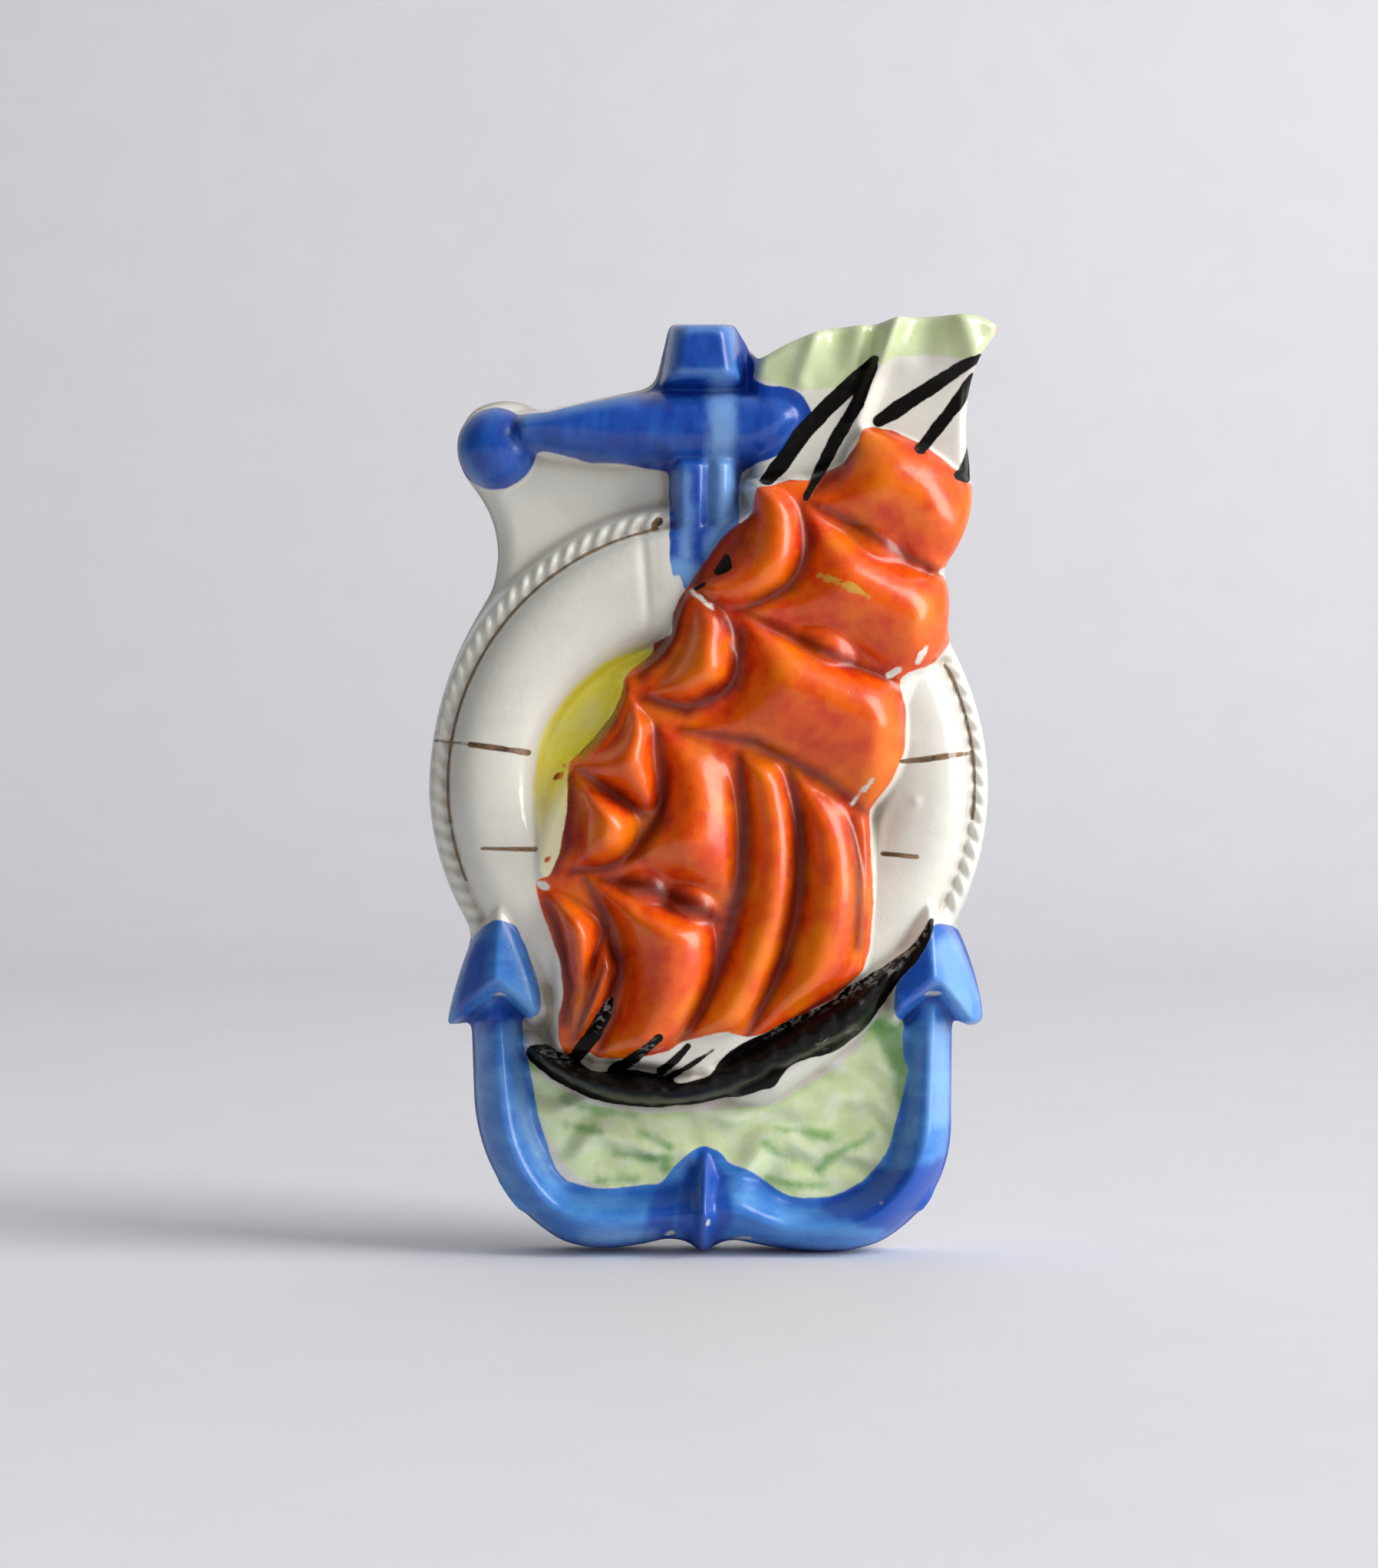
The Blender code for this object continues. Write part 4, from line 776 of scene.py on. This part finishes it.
# The crease and swell fields mark hollows and ridges of the relief. Besides roughness, the glaze uses
# them to darken colours there as painted shade and pale them as painted highlight.
soft_depth = np.where(outline_gap > -1.0, face_depth, GROUND_DEPTH)
paint["crease"] = (blurred(soft_depth, 0.9) - blurred(soft_depth, 2.6)) / MILLIMETRE
paint["swell"] = (blurred(soft_depth, 2.0) - blurred(soft_depth, 7.0)) / MILLIMETRE

places = np.empty(len(body.data.vertices) * 3)
body.data.vertices.foreach_get("co", places)
place_x, place_y, place_z = places.reshape(-1, 3).T
place_x, place_z = place_x / UNIT, (place_z - FOOT) / UNIT
behind = (read_grid(face_depth, place_x, place_z) + place_y) / MILLIMETRE
on_body = {name: read_grid(values, place_x, place_z) for name, values in paint.items()}
for name in ("crease", "swell"):
    on_body[name] = np.where((behind < 1.0) & (place_y < -BACK_EDGE), on_body[name], 0.0)
on_body["behind"] = behind
on_body["skin"] = (behind < FACE_SKIN) | (read_grid(outline_gap, place_x, place_z) < RIM_SKIN)
for name, values in on_body.items():
    body.data.attributes.new(name, "FLOAT", "POINT").data.foreach_set("value", values.astype(np.float32))
body.data.shade_smooth()
flat_back = place_y > -0.01 * MILLIMETRE
for face in body.data.polygons:
    face.use_smooth = not all(flat_back[number] for number in face.vertices)

# The glaze
# One clear, hard glaze lies over the white body and all the brushed colours. The colours are darkened
# in the hollows, partly where the glaze pools and partly as painted shade, and paled on the ridges,
# partly where it runs thin and partly as painted highlight.
glaze = bpy.data.materials.new("painted_glaze")
glaze.use_nodes = True
tree = glaze.node_tree
tree.nodes.clear()


def node(kind, **settings):
    made = tree.nodes.new(kind)
    for name, value in settings.items():
        setattr(made, name, value)
    return made


def put(socket, value):
    """Links an output to a socket, or sets the socket's own value."""
    if isinstance(value, bpy.types.NodeSocket):
        tree.links.new(value, socket)
    else:
        socket.default_value = value


def filled(made, *values):
    """A node with values or links put into its named inputs."""
    for name, value in values:
        put(made.inputs[name], value)
    return made


def sum_of(operation, first, second=0.0, third=0.0):
    made = node("ShaderNodeMath", operation=operation)
    for socket, value in zip(made.inputs, (first, second, third)):
        put(socket, value)
    return made.outputs[0]


def ramp_of(value, low, high, out_low=0.0, out_high=1.0):
    """A soft step from one value to another."""
    made = node("ShaderNodeMapRange", interpolation_type="SMOOTHSTEP")
    for socket, given in zip(made.inputs[:5], (value, low, high, out_low, out_high)):
        put(socket, given)
    return made.outputs[0]


def mixed(share, first, second):
    made = node("ShaderNodeMix", data_type="RGBA")
    for socket, value in zip((made.inputs[0], made.inputs[6], made.inputs[7]), (share, first, second)):
        put(socket, value)
    return made.outputs[2]


def colour(red, green, blue):
    """A colour from its 0 to 255 screen values."""
    return tuple((value / 255.0) ** 2.2 for value in (red, green, blue)) + (1.0,)


def tinted(base, *tints):
    """A colour with others laid over it in turn, each as strongly as its share says."""
    for share, tint in tints:
        base = mixed(share, base, colour(*tint))
    return base


place = node("ShaderNodeTexCoord").outputs["Object"]


def speckle(scale, detail=2.0, stretch=None, roughness=0.5):
    """Soft random mottling over the body. The scale is in spots a metre."""
    where = place
    if stretch:
        turned = filled(node("ShaderNodeMapping"), ("Rotation", stretch[0]), ("Scale", stretch[1]))
        where = filled(turned, ("Vector", place)).outputs[0]
    made = filled(node("ShaderNodeTexNoise"), ("Vector", where), ("Scale", scale))
    return filled(made, ("Detail", detail), ("Roughness", roughness)).outputs["Fac"]


def field(name):
    return node("ShaderNodeAttribute", attribute_name=name).outputs["Fac"]


def brushed(name, wobble, raggedness, softness):
    """How much of one paint covers a place: its outline, made uneven as a brush leaves it."""
    uneven = sum_of("MULTIPLY_ADD", sum_of("SUBTRACT", wobble, 0.5), raggedness, field(name))
    return ramp_of(uneven, -softness, softness)


fine = speckle(900.0, 3.0)
broad = speckle(110.0, 3.0)
mottle = speckle(260.0, 4.0, roughness=0.6)
streaks = speckle(130.0, 4.0, ((0.0, 0.3, 0.0), (1.9, 1.0, 0.8)), 0.6)
across_streaks = speckle(110.0, 4.0, ((0.0, 0.5, 0.0), (0.8, 1.0, 1.8)), 0.6)
crease, swell = field("crease"), field("swell")
place_in_body = filled(node("ShaderNodeSeparateXYZ"), ("Vector", place)).outputs
height_up = place_in_body["Z"]
back_edge = sum_of("MULTIPLY_ADD", mottle, 0.004, place_in_body["Y"])
on_skin = sum_of("MULTIPLY", field("skin"), ramp_of(back_edge, -0.0012, -0.0034))

# The white greys in the creases: painted shade, partly glaze pooled there.
white = tinted(
    colour(222, 219, 208), (ramp_of(broad, 0.3, 0.75), (214, 211, 201)),
    (ramp_of(crease, -0.05, -0.8), (186, 178, 164)),
)
amber = sum_of("MULTIPLY_ADD", broad, 3.0, field("amber"))
# The pooled lines darken the orange in the folds, partly pooled glaze and partly painted shade.
pooled_and_shade = sum_of("MULTIPLY_ADD", mottle, 0.8, field("pooled_and_shade"))
# The orange pales on the swells, partly thin glaze and partly painted highlight, and turns dark red in
# the creases, partly pooled glaze and partly painted shade.
orange = tinted(
    colour(226, 84, 8), (ramp_of(mottle, 0.35, 0.7), (204, 50, 10)),
    (ramp_of(broad, 0.45, 0.72), (232, 112, 12)),
    (ramp_of(swell, -0.2, 1.6, 0.0, 0.4), (230, 110, 24)),
    (ramp_of(amber, -0.4, 3.6, 0.0, 0.5), (238, 128, 14)),
    (ramp_of(crease, -0.04, -0.6, 0.0, 0.8), (110, 22, 8)),
    (ramp_of(pooled_and_shade, -1.2, 1.8, 0.0, 0.9), (90, 17, 6)),
    (brushed("scuff", fine, 1.6, 0.2), (206, 150, 60)),
)

top_blue = tinted(colour(14, 54, 144), (ramp_of(streaks, 0.25, 0.8), (38, 90, 176)))
foot_blue = tinted(colour(44, 108, 194), (ramp_of(across_streaks, 0.3, 0.75), (84, 148, 216)))
# The blue pales on the ridges, partly thin glaze and partly painted highlight, and deepens in the
# creases, partly pooled glaze and partly painted shade.
blue = tinted(
    mixed(ramp_of(height_up, -0.088, -0.108), top_blue, foot_blue),
    (ramp_of(crease, 0.1, 0.8, 0.0, 0.4), (110, 166, 222)),
    (ramp_of(crease, -0.06, -0.8, 0.0, 0.8), (14, 48, 136)),
    # The second coat deepens the blue; on the left faces of the flukes this is painted shade.
    (sum_of("MULTIPLY", brushed("second_coat_and_shade", mottle, 2.8, 1.2), 0.85), (20, 68, 166)),
    # The thin strokes pale the blue; on faces turned to the right they are a painted highlight.
    (sum_of("MULTIPLY", brushed("thin_and_lit", streaks, 3.0, 1.6), 0.62), (136, 182, 230)),
)

# The yellow is painted paler low down, where it lies deep between ring and sails: a painted pool of light
# thrown back into the recess.
yellow = tinted(
    colour(246, 236, 104), (ramp_of(mottle, 0.3, 0.7), (236, 222, 72)),
    (ramp_of(broad, 0.5, 0.7, 0.0, 0.4), (232, 228, 170)),
    (ramp_of(height_up, -0.064, -0.08, 0.0, 0.85), (252, 246, 212)),
)
# The green darkens in the creases and hollows, partly pooled glaze and partly painted shade, and pales on
# the ridges as a painted highlight.
green = tinted(
    colour(222, 232, 196), (ramp_of(mottle, 0.3, 0.66), (208, 224, 166)),
    (ramp_of(crease, -0.02, -0.5, 0.0, 0.5), (160, 194, 120)),
    (ramp_of(swell, -0.5, -2.2, 0.0, 0.35), (150, 184, 112)),
    (ramp_of(crease, 0.03, 0.3, 0.0, 0.5), (232, 236, 212)),
    (ramp_of(height_up, -0.02, 0.0, 0.0, 0.7), (192, 205, 156)),
    # The deep green strokes darken the sea; the one under the hull's right end is painted shade.
    (sum_of("MULTIPLY", brushed("deep_green_and_shade", mottle, 2.6, 1.2), 0.75), (92, 156, 78)),
)
skipped = sum_of("MULTIPLY", brushed("dry", mottle, 1.6, 0.8), ramp_of(fine, 0.48, 0.6))
black = tinted(
    colour(18, 14, 12), (ramp_of(fine, 0.5, 0.75, 0.0, 0.5), (40, 31, 26)),
    (sum_of("MULTIPLY", skipped, 0.6), (150, 150, 142)),
)
gold = tinted(colour(70, 58, 44), (ramp_of(mottle, 0.35, 0.65), (140, 112, 84)))

# A layer's last number is how many millimetres its paint goes round the edge of the cast.
colours = white
# The bare layer lays white for worn nicks and for painted glints on the sails.
layers = (
    ("yellow", yellow, broad, 1.6, 0.5, 2.0), ("green", green, mottle, 1.4, 0.35, 2.0),
    ("blue", blue, mottle, 0.7, 0.2, 30.0), ("orange", orange, mottle, 0.9, 0.18, 7.0),
    ("bare_and_glint", white, mottle, 1.8, 0.2, 2.0), ("gold", gold, mottle, 0.5, 0.14, 1.0),
    ("clay", colour(214, 178, 140), mottle, 0.6, 0.2, 1.5), ("black", black, mottle, 0.9, 0.14, 1.0),
)
round_the_edge = sum_of("MULTIPLY_ADD", mottle, 4.0, field("behind"))
covers = {}
for name, paint_colour, wobble, raggedness, softness, wrap in layers:
    covers[name] = sum_of("MULTIPLY", brushed(name, wobble, raggedness, softness), on_skin)
    covers[name] = sum_of("MULTIPLY", covers[name], ramp_of(round_the_edge, wrap + 2.6, wrap + 1.8))
    colours = mixed(covers[name], colours, paint_colour)

pits = filled(node("ShaderNodeTexVoronoi"), ("Vector", place), ("Scale", 420.0)).outputs["Distance"]
pit = sum_of("MULTIPLY", ramp_of(pits, 0.16, 0.05), ramp_of(broad, 0.45, 0.6))
grain = sum_of("MULTIPLY", speckle(1500.0, 2.0), 0.14)
surface = sum_of("MULTIPLY_ADD", speckle(330.0, 2.0), 0.55, grain)
surface = sum_of("MULTIPLY_ADD", pit, -0.2, surface)
surface = sum_of("MULTIPLY_ADD", covers["black"], 0.5, surface)
bump = filled(node("ShaderNodeBump"), ("Strength", 0.5), ("Distance", 0.00035), ("Height", surface))

satin = sum_of("MULTIPLY_ADD", covers["orange"], 0.1, ramp_of(mottle, 0.3, 0.8, 0.14, 0.22))
satin = sum_of("ADD", satin, ramp_of(crease, -0.1, -0.5, 0.0, 0.25))
satin = sum_of("MULTIPLY_ADD", covers["blue"], 0.12, satin)
shine = sum_of("MULTIPLY_ADD", covers["black"], -0.32, 0.5)
thick = sum_of("MULTIPLY_ADD", sum_of("MAXIMUM", covers["blue"], covers["orange"]), -0.15, 0.25)
finish = filled(
    node("ShaderNodeBsdfPrincipled"),
    ("Base Color", colours),
    ("Roughness", sum_of("MULTIPLY_ADD", covers["black"], 0.25, satin)),
    ("Specular IOR Level", sum_of("SUBTRACT", shine, ramp_of(crease, -0.08, -0.5, 0.0, 0.16))),
    ("Coat Weight", sum_of("MULTIPLY_ADD", covers["black"], -0.2, thick)),
    ("IOR", 1.5), ("Coat Roughness", 0.07), ("Coat IOR", 1.5), ("Normal", bump.outputs[0]),
)
filled(node("ShaderNodeOutputMaterial"), ("Surface", finish.outputs[0]))
body.data.materials.clear()
body.data.materials.append(glaze)
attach(body, "root")
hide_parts("wall_pocket")

# The floor
# A plain pale board under the piece, which stands on its anchor's arms. It sweeps up far behind it,
# and is matt and slightly mottled.
BOARD_SIZE, BOARD_BACK, SWEEP_HEIGHT, SWEEP_RADIUS = (5.0, 4.0, 1.0), 1.6, 3.0, 0.6
floor_shape = bmesh.new()
bmesh.ops.create_grid(floor_shape, x_segments=1, y_segments=1, size=0.5)
bmesh.ops.scale(floor_shape, verts=floor_shape.verts, vec=BOARD_SIZE)
under_piece = (0.0, BOARD_BACK - BOARD_SIZE[1] / 2.0, body_low[2] - 0.2 * MILLIMETRE)
bmesh.ops.translate(floor_shape, verts=floor_shape.verts, vec=under_piece)
far_edge = max(floor_shape.edges, key=lambda edge: edge.verts[0].co.y + edge.verts[1].co.y)
swept = bmesh.ops.extrude_edge_only(floor_shape, edges=[far_edge])["geom"]
for vertex in (part for part in swept if isinstance(part, bmesh.types.BMVert)):
    vertex.co.z += SWEEP_HEIGHT
corner = [
    edge for edge in floor_shape.edges
    if all(abs(vertex.co.y - BOARD_BACK) < 1e-3 and vertex.co.z < 0.0 for vertex in edge.verts)
]
bmesh.ops.bevel(
    floor_shape, geom=corner, offset=SWEEP_RADIUS, affect="EDGES", segments=16, profile=0.5, material=-1
)
floor_mesh = bpy.data.meshes.new("floor")
floor_shape.to_mesh(floor_mesh)
floor_shape.free()
floor_mesh.shade_smooth()
floor = bpy.data.objects.new("floor", floor_mesh)
bpy.context.scene.collection.objects.link(floor)
board = bpy.data.materials.new("pale_board")
board.use_nodes = True
tree = board.node_tree
place = node("ShaderNodeTexCoord").outputs["Object"]
pale = tinted(colour(226, 226, 230), (speckle(30.0), (221, 221, 226)))
filled(tree.nodes["Principled BSDF"], ("Base Color", pale), ("Roughness", 0.7))
floor_mesh.materials.append(board)

# The light and the camera
# Daylight from a large window up to the right, a pale room around, and a level view from the front.
MIDDLE = Vector((0.0, 0.0, -0.07))
CAMERA_PLACE, LENS, SENSOR_HEIGHT = (-0.0028, -0.71, -0.0697), 82.7, 36.0
scene = bpy.context.scene
scene.view_settings.view_transform = "Standard"
world = bpy.data.worlds.new("pale_room")
world.use_nodes = True
tree = world.node_tree
sky_side = node("ShaderNodeVectorMath", operation="DOT_PRODUCT")
put(sky_side.inputs[0], node("ShaderNodeTexCoord").outputs["Generated"])
sky_side.inputs[1].default_value = (0.42, 0.62, 0.66)
room = tinted(colour(60, 60, 62), (ramp_of(sky_side.outputs["Value"], -0.5, 0.9), (250, 250, 250)))
filled(tree.nodes["Background"], ("Color", room), ("Strength", 0.5))
scene.world = world


def window(name, direction, distance, width, height, power, shine=True):
    """A soft rectangular light that faces the middle of the piece. A wall's glow casts no shine."""
    lamp = bpy.data.lights.new(name, "AREA")
    lamp.shape, lamp.size, lamp.size_y, lamp.energy = "RECTANGLE", width, height, power
    made = bpy.data.objects.new(name, lamp)
    made.location = MIDDLE + distance * direction.normalized()
    made.rotation_euler = direction.to_track_quat("Z", "Y").to_euler()
    made.visible_glossy = shine
    scene.collection.objects.link(made)


window("window", Vector((0.82, -0.34, 0.42)), 3.0, 1.6, 3.2, 122.0)
window("room", Vector((0.25, -0.9, 0.35)), 2.4, 2.0, 2.0, 12.0, shine=False)

camera = bpy.data.cameras.new("camera")
camera.sensor_fit, camera.sensor_height, camera.lens = "VERTICAL", SENSOR_HEIGHT, LENS
view = bpy.data.objects.new("camera", camera)
view.location = CAMERA_PLACE
view.rotation_euler = (math.pi / 2.0, 0.0, 0.0)
scene.collection.objects.link(view)
scene.camera = view
